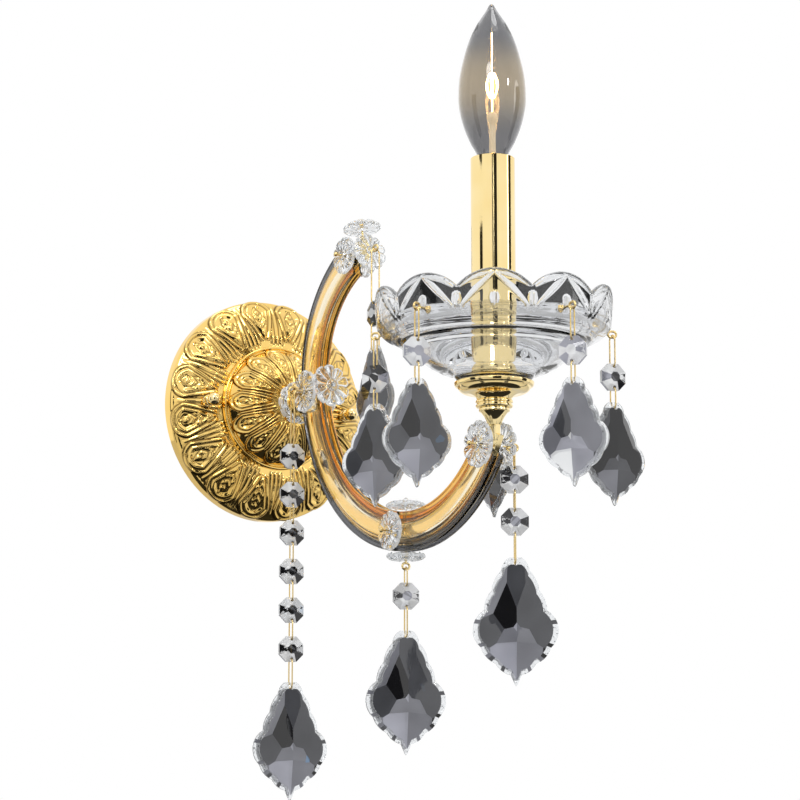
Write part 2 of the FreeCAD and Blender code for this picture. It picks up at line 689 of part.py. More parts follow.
def make_arm_strip():
    """The bent strip with its tab, its tongue for the cone and its pin holes."""
    half_thick = float(strip_half)
    turn = float(scroll_top_turn)
    strip = top_arc(strip_section, 180.0 - turn, 180.0)
    strip = strip.fuse(low_arc(strip_section, 180.0, 270.0))
    strip = strip.fuse(rise_arc(strip_section, 270.0, 270.0 + rise_turn()))
    tab_reach = float(boss_end) - float(tab_depth())
    tab_height = float(tab_width())
    tab_end = float(arm_reach) - float(strip_width) / 2 + 1.5
    tab = Part.makeBox(2 * half_thick, tab_end - tab_reach, tab_height,
                       point(tab_end, -tab_height / 2, -half_thick))
    tongue_low = strip_end_height() - float(tongue_root)
    tongue_high = float(cone_top - tongue_sink)
    tongue = Part.makeBox(2 * half_thick, float(tongue_width()), tongue_high - tongue_low,
                          point(candle_reach + tongue_width() / 2, tongue_low, -half_thick))
    strip = strip.fuse(tab).fuse(tongue).removeSplitter()
    hole = float(pin_wire) / 2 + float(hole_fit) / 2
    for reach, height in arm_pin_places().values():
        strip = strip.cut(Part.makeCylinder(hole, 4 * half_thick,
                                            point(reach, height, -2 * half_thick), X_AXIS))
    for place, direction in edge_pins().values():
        inner = place - direction * float(edge_pin_grip())
        strip = strip.cut(Part.makeCylinder(hole, float(edge_pin_grip()) + 1.0, inner, direction))
    return shape_feature("arm_strip", strip)


def strip_end_height():
    reach, height = arc_place(low_centre_reach, rise_centre_height, scroll_rise_radius,
                              270.0 + rise_turn())
    return height


def tongue_width():
    return cone_tip_dia - 1.0


def edge_pin_grip():
    """Length of an edge pin inside the strip's edge."""
    return strip_width * 0.35


def edge_pins():
    """Seat and direction of the pins that stand on the strip's edge or end."""
    half = float(strip_width) / 2
    angle = 180.0 - float(scroll_top_turn) + 1.5
    reach, height = arc_place(top_centre_reach, arm_turn_height,
                              float(scroll_top_radius) + half, angle)
    turn = math.radians(angle)
    top_edge = (point(reach, height), Vector(0, -math.cos(turn), math.sin(turn)))
    end = math.radians(180.0 - float(scroll_top_turn))
    reach, height = arc_place(top_centre_reach, arm_turn_height,
                              float(scroll_top_radius) - 0.25 * float(strip_width),
                              math.degrees(end))
    top_front = (point(reach, height), Vector(0, -math.sin(end), -math.cos(end)))
    bottom = (point(low_centre_reach - 8.0, float(bottom_height) - half + 0.4), Vector(0, 0, -1))
    return {"top_edge": top_edge, "top_front": top_front, "bottom_under": bottom}


def make_cover_pair(label, arc_pieces):
    """Two glass covers, one on each side of the strip, along one or two arcs."""
    covers = []
    for side in (-1, 1):
        def section_at(radius, angle, centre_reach, centre_height, side=side):
            return cover_section(side, radius, angle, centre_reach, centre_height)
        cover = None
        for arc, start, finish in arc_pieces:
            piece = arc(section_at, start, finish)
            cover = piece if cover is None else cover.fuse(piece)
        covers.append(cover.removeSplitter())
    return shape_feature(label, Part.makeCompound(covers))


def make_covers():
    gap_top = math.degrees(float(cover_gap) / 2 / float(scroll_top_radius))
    gap_low = math.degrees(float(cover_gap) / 2 / float(scroll_low_radius))
    gap_rise = math.degrees(float(cover_gap) / 2 / float(scroll_rise_radius))
    top_pin = 180.0 - float(top_pin_angle)
    middle_pin = 180.0 + math.degrees(math.asin(float(middle_pin_drop) / float(scroll_low_radius)))
    bottom_pin = 270.0 - math.degrees(math.asin(float(bottom_pin_back) / float(scroll_low_radius)))
    end_pin = 270.0 + rise_turn() - float(end_pin_back)
    make_cover_pair("arm_covers_upper", [(top_arc, top_pin + gap_top, 180.0),
                                         (low_arc, 180.0, middle_pin - gap_low)])
    make_cover_pair("arm_covers_lower", [(low_arc, middle_pin + gap_low, bottom_pin - gap_low)])
    make_cover_pair("arm_covers_front", [(low_arc, bottom_pin + gap_low, 270.0),
                                         (rise_arc, 270.0, end_pin - gap_rise)])


# ---------------------------------------------------------------- rosettes and pins

def rosette_solid(diameter):
    """A moulded flower on the Z axis: back edge at z = 0, front toward +Z."""
    radius = float(diameter) / 2
    edge = float(rosette_edge)
    thick = float(rosette_thick)
    dish = float(rosette_dish)
    bore = float(rosette_bore) / 2
    back = [Vector(bore, 0, 0), Vector(radius * 0.35, 0, 0)]
    outline = [
        Part.LineSegment(back[0], back[1]).toShape(),
        Part.Arc(back[1], Vector(radius * 0.7, 0, dish * 0.5), Vector(radius, 0, dish)).toShape(),
        Part.LineSegment(Vector(radius, 0, dish), Vector(radius, 0, dish + edge)).toShape(),
        Part.Arc(Vector(radius, 0, dish + edge), Vector(radius * 0.62, 0, thick),
                 Vector(radius * 0.3, 0, thick * 0.86)).toShape(),
        Part.LineSegment(Vector(radius * 0.3, 0, thick * 0.86),
                         Vector(bore, 0, thick * 0.86)).toShape(),
        Part.LineSegment(Vector(bore, 0, thick * 0.86), back[0]).toShape()]
    flower = Part.Face(Part.Wire(outline)).revolve(ORIGIN, Z_AXIS, 360)
    count = int(float(petal_count))
    notch_radius = radius * math.tan(math.pi / count) * 0.62
    for index in range(count):
        turn = 2 * math.pi * (index + 0.5) / count
        notch = Part.makeCylinder(notch_radius, 3 * thick,
                                  Vector(radius * 1.1 * math.cos(turn),
                                         radius * 1.1 * math.sin(turn), -thick))
        flower = flower.cut(notch)
    return flower


def facing(direction):
    return Rotation(Z_AXIS, direction)


def make_rosettes():
    """Large flowers at the middle and the end of the arm, small ones at its top and bottom."""
    large = rosette_solid(rosette_dia)
    small = rosette_solid(rosette_small_dia)

    def placed(flower, place, direction):
        copy = flower.copy()
        copy.Placement = Placement(place, facing(direction))
        return copy

    flowers = {"top": small, "middle": large, "bottom": small, "end": large}
    for name, (reach, height) in arm_pin_places().items():
        pair = []
        for side in (-1, 1):
            back = point(reach, height, side * float(rosette_back))
            pair.append(placed(flowers[name], back, X_AXIS * side))
        shape_feature(f"rosettes_{name}", Part.makeCompound(pair))
    on_edges = {}
    for name, (place, direction) in edge_pins().items():
        on_edges[name] = placed(small, place + direction * edge_rosette_lift(name), direction)
    shape_feature("rosettes_top_end",
                  Part.makeCompound([on_edges["top_edge"], on_edges["top_front"]]))
    shape_feature("rosette_bottom_under", on_edges["bottom_under"])
    hole = Part.makeCylinder(float(boss_dia) / 2 + float(hole_fit), 4 * float(rosette_thick),
                             Vector(0, 0, -float(rosette_thick)))
    ring = large.cut(hole)
    ring.Placement = Placement(point(dome_top + hole_fit, 0), facing(-Y_AXIS))
    return shape_feature("rosette_wall", ring)


def edge_rosette_lift(name):
    """Distance of an edge rosette's back from the strip, clear of the covers' edges."""
    overhang = (float(cover_width) - float(strip_width)) / 2
    if name == "top_front":
        return 1.0
    return overhang + 0.4


def ring_shape(straight, bend, wire):
    """A closed wire ring round the origin in the XZ plane: two straight runs of the given
    length along X, joined by two half circles."""
    half = float(straight) / 2
    radius = float(bend)
    thick = float(wire) / 2
    edges = [
        Part.LineSegment(Vector(-half, 0, -radius), Vector(half, 0, -radius)).toShape(),
        Part.Arc(Vector(half, 0, -radius), Vector(half + radius, 0, 0),
                 Vector(half, 0, radius)).toShape(),
        Part.LineSegment(Vector(half, 0, radius), Vector(-half, 0, radius)).toShape(),
        Part.Arc(Vector(-half, 0, radius), Vector(-half - radius, 0, 0),
                 Vector(-half, 0, -radius)).toShape()]
    path = Part.Wire(edges)
    circle = Part.Wire([Part.makeCircle(thick, Vector(-half, 0, -radius), X_AXIS)])
    return path.makePipeShell([circle], True, True)


def eye_half():
    """Distance from the middle of an eye to its outer end, on the wire's middle line."""
    return float(eye_straight) / 2 + float(eye_radius)


def ball_head(place):
    return Part.makeSphere(float(pin_head) / 2, place)


def pin_eye(tip, direction):
    """The eye on a pin's tip, upright and in the plane of the pin."""
    eye = ring_shape(eye_straight, eye_radius, eye_wire)
    if abs(direction.z) > 0.9:
        eye.Placement = Placement(tip + direction * float(eye_radius), Rotation())
    else:
        flat = Vector(direction.x, direction.y, 0)
        eye.Placement = Placement(tip + direction * eye_half(), Rotation(X_AXIS, flat))
    return eye


def pin_shaft(start, finish):
    """A straight wire from start to just past finish, where it ends inside an eye or head."""
    length = start.distanceToPoint(finish) + float(pin_wire) / 4
    return Part.makeCylinder(float(pin_wire) / 2, length, start, finish - start)


def pin_shape(start, finish, eye_at_finish):
    """A wire pin with a ball head at its start, and an eye or a second head at its finish."""
    pin = pin_shaft(start, finish).fuse(ball_head(start))
    if eye_at_finish:
        return pin.fuse(pin_eye(finish, (finish - start).normalize()))
    return pin.fuse(ball_head(finish))


def hanging_places():
    """Middle of each eye that a drop hangs from, and the flat direction of the eye's wire."""
    reach_out = float(rosette_front) + float(pin_overhang)
    places = {}
    pins = arm_pin_places()
    reach, height = pins["middle"]
    places["wall_chain"] = (point(reach, height, -reach_out - eye_half()), X_AXIS)
    reach, height = pins["end"]
    places["right_chain"] = (point(reach, height, reach_out + eye_half()), X_AXIS)
    place, direction = edge_pins()["bottom_under"]
    tip = place + direction * edge_pin_length("bottom_under")
    places["middle_chain"] = (tip + direction * float(eye_radius), X_AXIS)
    place, direction = edge_pins()["top_front"]
    tip = place + direction * edge_pin_length("top_front")
    places["top_drop"] = (tip + direction * eye_half(), Y_AXIS)
    return places


def edge_pin_length(name):
    return edge_rosette_lift(name) + float(rosette_thick) + float(edge_pin_overhang)


def make_rosette_pins():
    """Four cross pins through the strip and three pins in its edge or end."""
    reach_out = float(rosette_front) + float(pin_overhang)
    eyes = {"top": 0, "middle": -1, "bottom": 0, "end": 1}
    pins = []
    for name, (reach, height) in arm_pin_places().items():
        side = eyes[name] or 1
        pins.append(pin_shape(point(reach, height, -side * reach_out),
                              point(reach, height, side * reach_out), eyes[name] != 0))
    for name, (place, direction) in edge_pins().items():
        inner = place - direction * (float(edge_pin_grip()) - 0.4)
        outer = place + direction * edge_pin_length(name)
        end = ball_head(outer) if name == "top_edge" else pin_eye(outer, direction)
        pins.append(pin_shaft(inner, outer).fuse(end))
    return shape_feature("rosette_pins", Part.makeCompound(pins))


# ---------------------------------------------------------------- cup, bowl and candle

def make_cone():
    """The turned cone under the cup, with a spigot above and a slot for the strip's tongue."""
    tip = cone_top - cone_height
    spigot = nipple_dia / 2 - 0.1
    body = turned_body("cup_cone", [
        (0, tip),
        (cone_tip_dia / 2, tip),
        (cone_dia / 2 - 0.6, cone_top - 1.0, cone_dia * 0.33, tip + cone_height * 0.5),
        (cone_dia / 2, cone_top - 1.0),
        (cone_dia / 2, cone_top),
        (spigot, cone_top),
        (spigot, cone_top + 4.0),
        (0, cone_top + 4.0)])
    doc.recompute()
    slot = new_sketch(body, "XZ_Plane", "cup_cone_slot")
    half_slot = strip_half + cover_fit
    top = cone_top - tongue_sink + cover_fit
    draw_outline(slot, [(-half_slot, tip - 1.0), (half_slot, tip - 1.0),
                        (half_slot, top), (-half_slot, top)])
    doc.recompute()
    before = body.Shape.Volume
    pocket = body.newObject("PartDesign::Pocket", "cup_cone_slot_cut")
    pocket.Profile = slot
    pocket.Midplane = True
    bind(pocket, "Length", tongue_width() + cover_fit * 2)
    doc.recompute()
    if body.Shape.Volume >= before:
        raise RuntimeError("the cone's slot cut nothing")
    return body


def make_cup():
    """The turned candle cup: a ring, a flaring wall and a recess that seats the bowl."""
    bore = nipple_dia / 2 + thread_fit
    ring = cup_ring_dia / 2
    ring_top = cup_seat - cup_ring_drop
    rim = cup_seat + cup_rim_rise
    radius = cup_dia / 2
    return turned_body("candle_cup", [
        (bore, cone_top),
        (ring - 0.8, cone_top),
        (ring, cone_top + 0.8),
        (ring, ring_top - 0.8),
        (ring - 0.8, ring_top),
        (radius - 1.2, rim - 2.6, radius - 3.4, cup_seat - 3.4),
        (radius, rim - 1.4),
        (radius, rim),
        (radius - 1.4, rim),
        (bowl_foot_radius() + 0.3, cup_seat),
        (bore, cup_seat)])


def bowl_foot_radius():
    return cup_dia / 2 - 3.0


def make_bowl():
    """The scalloped glass bowl that the drops hang from."""
    foot = bowl_foot_radius()
    top = bowl_top
    base = bowl_bottom
    glass = bowl_glass
    radius = bowl_radius
    profile = [
        (nipple_dia / 2 + hole_fit, base),
        (foot, base),
        (foot + 1.4, base + 2.9),
        (foot + 10.0, base + 7.9),
        (foot + 24.0, base + 18.0),
        (foot + 29.4, base + 20.9),
        (foot + 30.4, base + 22.6),
        (foot + 35.0, base + 24.2),
        (radius - 0.9, base + 30.0, radius - 4.0, base + 26.2),
        (radius, top),
        (radius - glass, top),
        (radius - 0.9 - glass, base + 31.0),
        (foot + 33.6, base + 27.4, radius - 7.2, base + 28.4),
        (foot + 22.0, base + 21.2),
        (foot + 8.6, base + 11.2),
        (foot, base + bowl_floor),
        (nipple_dia / 2 + hole_fit, base + bowl_floor)]
    turned = turned_body("bowl_blank", profile)
    doc.recompute()
    count = int(float(scallop_count))
    half_chord = float(radius) * math.sin(math.pi / count)
    rise = float(bowl_scallop)
    arch = (half_chord ** 2 + rise ** 2) / (2 * rise)
    axis_height = float(top) - arch
    underside = float(base) - 1.0
    keep = Part.makeCylinder(float(radius) * 1.2, float(top) - 2 * rise - underside,
                             point(candle_reach, underside))
    for index in range(count):
        direction = flat_direction(360.0 * index / count)
        start = point(candle_reach, axis_height) + direction * (0.4 * float(radius))
        keep = keep.fuse(Part.makeCylinder(arch, 0.9 * float(radius), start, direction))
    bowl = turned.Shape.common(keep)
    for azimuth in DROP_AZIMUTHS.values():
        direction = flat_direction(azimuth)
        bore = Part.makeCylinder(float(pin_wire) / 2 + float(hole_fit), float(bowl_radius),
                                 point(candle_reach, rim_pin_height) + direction * 20.0,
                                 direction)
        bowl = bowl.cut(bore)
    return shape_feature("bowl", bowl.Solids[0])


def flat_direction(azimuth):
    """Horizontal direction at an angle from straight out of the wall, turning toward +X."""
    turn = math.radians(azimuth)
    return Vector(math.sin(turn), -math.cos(turn), 0)


# azimuth of each bowl drop, and of the direction that its crystals face
DROP_AZIMUTHS = {"front": 0.0, "front_left": -72.0, "front_right": 72.0,
                 "back_left": -144.0, "back_right": 144.0}
DROP_FACING = {"front": -60.0, "front_left": -12.0, "front_right": -8.0,
               "back_left": -54.0, "back_right": -96.0,
               "top_drop": -90.0, "middle_chain": -18.0, "right_chain": -30.0,
               "wall_chain": -10.0}


def rim_eye_radius():
    """Distance of the rim eyes' middles from the candle's axis."""
    return float(bowl_radius) - 0.9 + float(rim_pin_overhang) + eye_half()


def make_rim_pins():
    pins = []
    inner = float(bowl_radius) - float(bowl_glass) - 3.6
    for azimuth in DROP_AZIMUTHS.values():
        direction = flat_direction(azimuth)
        axis = point(candle_reach, rim_pin_height)
        pins.append(pin_shape(axis + direction * inner,
                              axis + direction * (rim_eye_radius() - eye_half()), True))
    return shape_feature("rim_pins", Part.makeCompound(pins))


def make_candle():
    """Stem, washer, socket and sleeve, from the cup up."""
    tube = nipple_dia / 2
    stem_bottom = cone_top + 4.2
    socket_high = sleeve_top - socket_top
    socket_low = socket_high - socket_length
    turned_body("candle_stem", [
        (nipple_bore / 2, stem_bottom), (tube, stem_bottom),
        (tube, socket_low + 3.0), (nipple_bore / 2, socket_low + 3.0)])
    turned_body("bowl_washer", [
        (tube + thread_fit, sleeve_bottom), (sleeve_bore - sleeve_gap, sleeve_bottom),
        (sleeve_bore - sleeve_gap, sleeve_bottom + washer_thick),
        (tube + thread_fit, sleeve_bottom + washer_thick)])
    insulator = sleeve_bore - sleeve_gap
    shell_inner = screw_dia / 2 + screw_fit
    shell_outer = shell_inner + 0.5
    pocket = shell_outer + thread_fit
    floor = socket_low + 4.0
    turned_body("socket_insulator", [
        (tube + thread_fit, socket_low), (insulator, socket_low), (insulator, socket_high),
        (pocket, socket_high), (pocket, floor), (tube + thread_fit, floor)])
    shell = Part.makeCylinder(float(shell_outer), float(screw_length) + 6.0,
                              point(candle_reach, floor + 1.0))
    shell = shell.cut(Part.makeCylinder(float(shell_inner), float(screw_length) + 8.0,
                                        point(candle_reach, floor)))
    contact = Part.makeCylinder(float(tube) - 0.8, 1.4, point(candle_reach, floor - 0.9))
    shape_feature("socket_contacts", Part.makeCompound([shell, contact]))
    turned_body("candle_sleeve", [
        (sleeve_bore, sleeve_bottom + 0.1), (sleeve_dia / 2, sleeve_bottom + 0.1),
        (sleeve_dia / 2, sleeve_top), (sleeve_bore, sleeve_top)])
    return floor


def make_lamp(floor):
    """The candle lamp: glass, screw base and the stem with its filament."""
    screw = screw_dia / 2
    base_low = floor + 1.4
    base_high = base_low + screw_length
    turned_body("lamp_base", [
        (0, base_low - 0.6), (2.2, base_low - 0.6), (3.0, base_low + 0.8), (screw, base_low + 2.6),
        (screw, base_high), (screw - 0.6, base_high), (screw - 0.6, base_low + 4.0),
        (0, base_low + 4.0)])
    glass = bulb_glass_thick
    neck = bulb_neck_dia / 2
    low_neck = screw - 0.2
    wide = bulb_dia / 2
    widest = sleeve_top + bulb_widest
    top = sleeve_top + bulb_rise
    turned_body("lamp_glass", [
        (low_neck - glass, base_high + 0.05, low_neck + 0.3 - glass, sleeve_top - 5.3),
        (low_neck, base_high + 0.05),
        (neck, sleeve_top, low_neck + 0.3, sleeve_top - 5.5),
        (wide, widest, wide - 3.0, sleeve_top + bulb_widest * 0.5),
        (wide * 0.34, top - 9.4, wide * 0.82, widest + (top - widest) * 0.44),
        (0.7, top, wide * 0.16, top - 3.0),
        (0, top),
        (0, top - 4.0),
        (wide * 0.34 - glass, top - 10.6),
        (wide - glass, widest, wide * 0.82 - glass, widest + (top - widest) * 0.44),
        (neck - glass, sleeve_top + 0.4, wide - 3.0 - glass, sleeve_top + bulb_widest * 0.5)])
    turned_body("lamp_mount", [
        (0, base_high - 2.0), (low_neck - glass - 0.5, base_high - 2.0),
        (low_neck - glass - 0.5, base_high + 2.5), (2.6, base_high + 5.0),
        (1.8, sleeve_top + 24.0), (0.5, sleeve_top + 26.0), (0.5, sleeve_top + 46.0),
        (0, sleeve_top + 46.0)])


# ---------------------------------------------------------------- hanging crystals

def mesh_solid(triangles):
    """A closed solid from flat triangles."""
    faces = []
    for corners in triangles:
        faces.append(Part.Face(Part.makePolygon(list(corners) + [corners[0]])))
    shell = Part.makeShell(faces)
    shell.sewShape()
    solid = Part.makeSolid(shell)
    if solid.Volume < 0:
        solid.reverse()
    return solid


def octagon(flats, depth):
    """Corners of an octagon with its flats up and down, at y = depth."""
    radius = float(flats) / 2 / math.cos(math.pi / 8)
    corners = []
    for index in range(8):
        turn = math.pi / 8 + index * math.pi / 4
        corners.append(Vector(radius * math.cos(turn), depth, radius * math.sin(turn)))
    return corners


def bead_solid():
    """A faceted octagon bead round the origin, facing -Y, with a hole at its top and bottom."""
    edge = float(bead_edge) / 2
    face = float(bead_thick) / 2
    blocks = []
    rim = Part.makePolygon(octagon(bead_flats, -edge) + octagon(bead_flats, -edge)[:1])
    blocks.append(Part.Face(rim).extrude(Vector(0, 2 * edge, 0)))
    for side in (-1, 1):
        outer = Part.makePolygon(octagon(bead_flats, side * edge)
                                 + octagon(bead_flats, side * edge)[:1])
        inner = Part.makePolygon(octagon(bead_table, side * face)
                                 + octagon(bead_table, side * face)[:1])
        blocks.append(Part.makeLoft([outer, inner], True, True))
    bead = blocks[0].fuse(blocks[1:]).removeSplitter()
    for side in (-1, 1):
        bead = bead.cut(Part.makeCylinder(float(bead_hole) / 2, 4 * face,
                                          Vector(0, -2 * face, side * bead_hole_height()), Y_AXIS))
    return bead


def bead_hole_height():
    return float(bead_flats) / 2 - float(bead_hole_inset)


# half outline of a pendalogue: places down one side, as shares of its half width and length;
# each stretch between two of them bulges out as one scallop
DROP_NOTCHES = ((0.155, 0.0), (0.35, 0.10), (0.58, 0.255), (0.77, 0.41), (0.86, 0.70),
                (0.50, 0.825), (0.13, 0.915))
DROP_BULGES = (0.045, 0.05, 0.05, 0.235, 0.06, 0.05)
DROP_WIDTH_SHARE = 0.64


def drop_outline(length):
    """The scalloped outline of a pendalogue in the XZ plane, its hole's middle at the origin."""
    half = length * DROP_WIDTH_SHARE / 2
    top = float(drop_hole_depth)
    side = [Vector(share * half, 0, top - down * length) for share, down in DROP_NOTCHES]
    tip = Vector(0, 0, top - length)
    edges = [Part.LineSegment(Vector(-side[0].x, 0, side[0].z), side[0]).toShape()]
    for index, bulge in enumerate(DROP_BULGES):
        start = side[index]
        finish = side[index + 1]
        run = finish - start
        out = Vector(-run.z, 0, run.x).normalize()
        via = (start + finish) / 2 + out * (bulge * half)
        edges.append(Part.Arc(start, via, finish).toShape())
    edges.append(Part.LineSegment(side[-1], tip).toShape())
    for edge in list(edges[1:]):
        edges.append(edge.mirror(ORIGIN, X_AXIS))
    return Part.Wire(Part.__sortEdges__(edges))


def drop_gem(length):
    """The faceted body that a pendalogue's outline is cut from."""
    half = length * DROP_WIDTH_SHARE / 2
    top = float(drop_hole_depth)

    def front(share, down, depth):
        return Vector(share * half, -depth * length / 64.0, top - down * length)

    rim = [front(0.30, -0.03, 1.3), front(0.86, 0.37, 1.7), front(1.10, 0.50, 1.7),
           front(1.08, 0.64, 1.7), front(0.66, 0.86, 1.7), front(0.16, 1.02, 1.5)]
    crown_top = front(0.10, -0.03, 1.3)
    knee = front(0.27, 0.39, 4.5)
    crown = front(0.0, 0.57, 5.6)
    hip = front(0.28, 0.71, 4.3)
    foot = front(0.0, 0.90, 2.3)
    right = [(crown_top, rim[0], knee), (rim[0], rim[1], knee), (rim[1], rim[2], knee),
             (knee, rim[2], crown), (crown, rim[2], hip), (rim[2], rim[3], hip),
             (hip, rim[3], rim[4]), (hip, rim[4], foot), (foot, rim[4], rim[5])]

    def flipped(place):
        return Vector(-place.x, place.y, place.z)

    def behind(place):
        return Vector(place.x, -place.y, place.z)

    left = [tuple(flipped(p) for p in reversed(face)) for face in right]
    centre = [(crown_top, knee, crown), (crown_top, crown, flipped(crown_top)),
              (flipped(crown_top), crown, flipped(knee)),
              (crown, hip, foot), (crown, foot, flipped(hip)),
              (foot, rim[5], flipped(rim[5]))]
    faces = right + left + centre
    back = [tuple(behind(p) for p in reversed(face)) for face in faces]
    border = [flipped(p) for p in reversed(rim)] + [flipped(crown_top), crown_top] + rim
    walls = []
    for index, place in enumerate(border):
        after = border[(index + 1) % len(border)]
        walls.append((place, after, behind(after)))
        walls.append((place, behind(after), behind(place)))
    return mesh_solid(faces + back + walls)


def drop_solid(length):
    """A pendalogue hanging from its hole at the origin, facing -Y."""
    outline = Part.Face(drop_outline(length))
    thick = 0.2 * length
    slab = outline.extrude(Vector(0, thick, 0))
    slab.translate(Vector(0, -thick / 2, 0))
    gem = drop_gem(length).common(slab)
    hole = Part.makeCylinder(float(drop_hole) / 2, thick, Vector(0, -thick / 2, 0), Y_AXIS)
    return gem.cut(hole).Solids[0]


def hook_ring(high, low):
    """A long ring in the YZ plane whose wire's middle line reaches from low to high."""
    ring = ring_shape(high - low - 2 * float(ring_radius), ring_radius, ring_wire)
    upright = Rotation(Z_AXIS, 90).multiply(Rotation(Y_AXIS, 90))
    ring.Placement = Placement(Vector(0, 0, (high + low) / 2), upright)
    return ring


def bead_clear():
    """Height of a ring's wire above the middle of the bead hole that it passes through."""
    return 0.2


def make_drop(name, eye_middle, hook_length, bead_count, bow_length, length):
    """One hanging string: hook, beads with links, bow pin and pendalogue.
    Everything is made round the hanging point and then turned to face its way."""
    eye_bottom = eye_middle + Vector(0, 0, -float(eye_radius))
    high = float(eye_wire) / 2 + float(ring_wire) / 2 + float(hang_gap)
    length = float(length)
    wires = []
    beads = []
    bead_middle = high - float(hook_length) - bead_hole_height() + bead_clear()
    wires.append(hook_ring(high, bead_middle + bead_hole_height() - bead_clear()))
    bead = bead_solid()
    pitch = float(bead_pitch)
    for index in range(bead_count):
        copy = bead.copy()
        copy.translate(Vector(0, 0, bead_middle - index * pitch))
        beads.append(copy)
        if index:
            upper = bead_middle - (index - 1) * pitch - bead_hole_height() + bead_clear()
            lower = bead_middle - index * pitch + bead_hole_height() - bead_clear()
            wires.append(hook_ring(upper, lower))
    last = bead_middle - (bead_count - 1) * pitch - bead_hole_height()
    bow_top = last + bead_clear()
    bow_bottom = bow_top - float(bow_length)
    wires.append(hook_ring(bow_top, bow_bottom))
    crystal = drop_solid(length)
    hole_height = bow_bottom + 0.35
    turn = Rotation(Z_AXIS, DROP_FACING[name])
    shape_feature(f"{name}_wires", Part.makeCompound(wires)).Placement = Placement(eye_bottom, turn)
    shape_feature(f"{name}_beads", Part.makeCompound(beads)).Placement = Placement(eye_bottom, turn)
    hole = eye_bottom + Vector(0, 0, hole_height)
    shape_feature(f"{name}_pendalogue", Part.makeCompound([crystal])).Placement = Placement(hole, turn)


def make_drops():
    rim_axis = point(candle_reach, rim_pin_height)
    for name, azimuth in DROP_AZIMUTHS.items():
        eye = rim_axis + flat_direction(azimuth) * rim_eye_radius()
        make_drop(name, eye, small_hook, 1, short_bow, small_drop_length)
    places = hanging_places()
    make_drop("top_drop", places["top_drop"][0], top_hook, 1, long_bow, small_drop_length)
    make_drop("middle_chain", places["middle_chain"][0], middle_hook, 1, long_bow,
              large_drop_length)
    make_drop("right_chain", places["right_chain"][0], right_hook, 2, long_bow,
              large_drop_length)
    make_drop("wall_chain", places["wall_chain"][0], wall_hook, 6, long_bow,
              large_drop_length)


# ---------------------------------------------------------------- the whole sconce

make_wall_bar()
make_studs()
make_ball_nut("ball_nut_left", -1)
make_ball_nut("ball_nut_right", 1)
make_backplate_outer()
make_backplate_dome()
make_centre_nipple()
make_tube_nuts()
make_arm_boss()
make_arm_strip()
make_covers()
make_rosettes()
make_rosette_pins()
make_cone()
make_cup()
make_bowl()
make_rim_pins()
socket_floor = make_candle()
make_lamp(socket_floor)
make_drops()
doc.recompute()


def pieces():
    """Every object of the document that is a finished piece of the sconce."""
    inner = set()
    for thing in doc.Objects:
        if thing.isDerivedFrom("Part::Compound"):
            inner.update(link.Name for link in thing.Links)
    found = []
    for thing in doc.Objects:
        if thing.Name in inner or thing.Label.endswith("_blank"):
            continue
        if thing.isDerivedFrom("PartDesign::Body") or thing.Name.startswith("Solid_"):
            found.append(thing)
        elif thing.isDerivedFrom("Part::Compound"):
            found.append(thing)
    return found


for thing in doc.Objects:
    if "Invalid" in thing.State or "Error" in thing.State:
        raise RuntimeError(f"{thing.Label} failed: {thing.State}")

os.makedirs("parts", exist_ok=True)
for piece in pieces():
    shape = piece.Shape
    if shape.isNull() or not shape.isValid():
        raise RuntimeError(f"{piece.Label} has no valid shape")
    shape.exportStep(f"parts/{piece.Label}.step")
    print(piece.Label, len(shape.Solids), round(shape.Volume, 1))
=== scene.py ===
"""Crystal wall sconce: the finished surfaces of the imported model.

Shapes are in metres, with the wall's face at y = 0 and the room toward -Y."""

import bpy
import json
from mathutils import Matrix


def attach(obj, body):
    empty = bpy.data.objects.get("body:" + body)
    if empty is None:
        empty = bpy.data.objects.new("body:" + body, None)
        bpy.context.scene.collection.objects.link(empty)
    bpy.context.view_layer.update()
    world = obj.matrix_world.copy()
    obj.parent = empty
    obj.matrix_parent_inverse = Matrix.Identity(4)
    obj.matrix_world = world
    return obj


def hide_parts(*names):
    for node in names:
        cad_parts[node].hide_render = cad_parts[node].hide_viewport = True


bl_info = {
    "name": "Crystal Wall Sconce",
    "version": (1, 0, 0),
    "blender": (4, 5, 0),
    "location": "3D View > Sidebar > Sconce",
    "description": "Builds the gold, glass and cut crystal of a one-light wall sconce",
    "category": "Object",
}

import json
import math

import bmesh
import bpy
from bpy.props import FloatProperty, FloatVectorProperty, IntProperty, PointerProperty
from bpy.types import Operator, Panel, PropertyGroup
from mathutils import Matrix, Vector

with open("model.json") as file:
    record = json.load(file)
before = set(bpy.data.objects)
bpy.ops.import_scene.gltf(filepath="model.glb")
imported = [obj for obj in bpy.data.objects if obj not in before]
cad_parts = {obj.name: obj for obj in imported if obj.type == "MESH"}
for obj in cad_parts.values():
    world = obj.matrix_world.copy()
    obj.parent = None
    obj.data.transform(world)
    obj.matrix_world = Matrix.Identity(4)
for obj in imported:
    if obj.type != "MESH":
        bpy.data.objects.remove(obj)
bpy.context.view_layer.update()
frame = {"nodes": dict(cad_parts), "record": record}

MM = 0.001
MERGE = 1e-6  # metres: corners closer than this are one
ROOT = "sconce"

# the sizes that follow are in millimetres and degrees
CANDLE_REACH = 228.0
FILAMENT_LEVEL = 138.0
STUD_SPACING = 46.0  # from the plate's middle to each ball nut

# arcs of the arm: reach and height of the centre, radius, first and last angle
TOP_ARC = (121.0, 14.0, 63.0, 100.0, 180.0)
LOW_ARC = (157.0, 14.0, 99.0, 180.0, 270.0)
RISE_ARC = (157.0, -5.0, 80.0, 270.0, 332.58)
ARM_ARCS = (TOP_ARC, LOW_ARC, RISE_ARC)

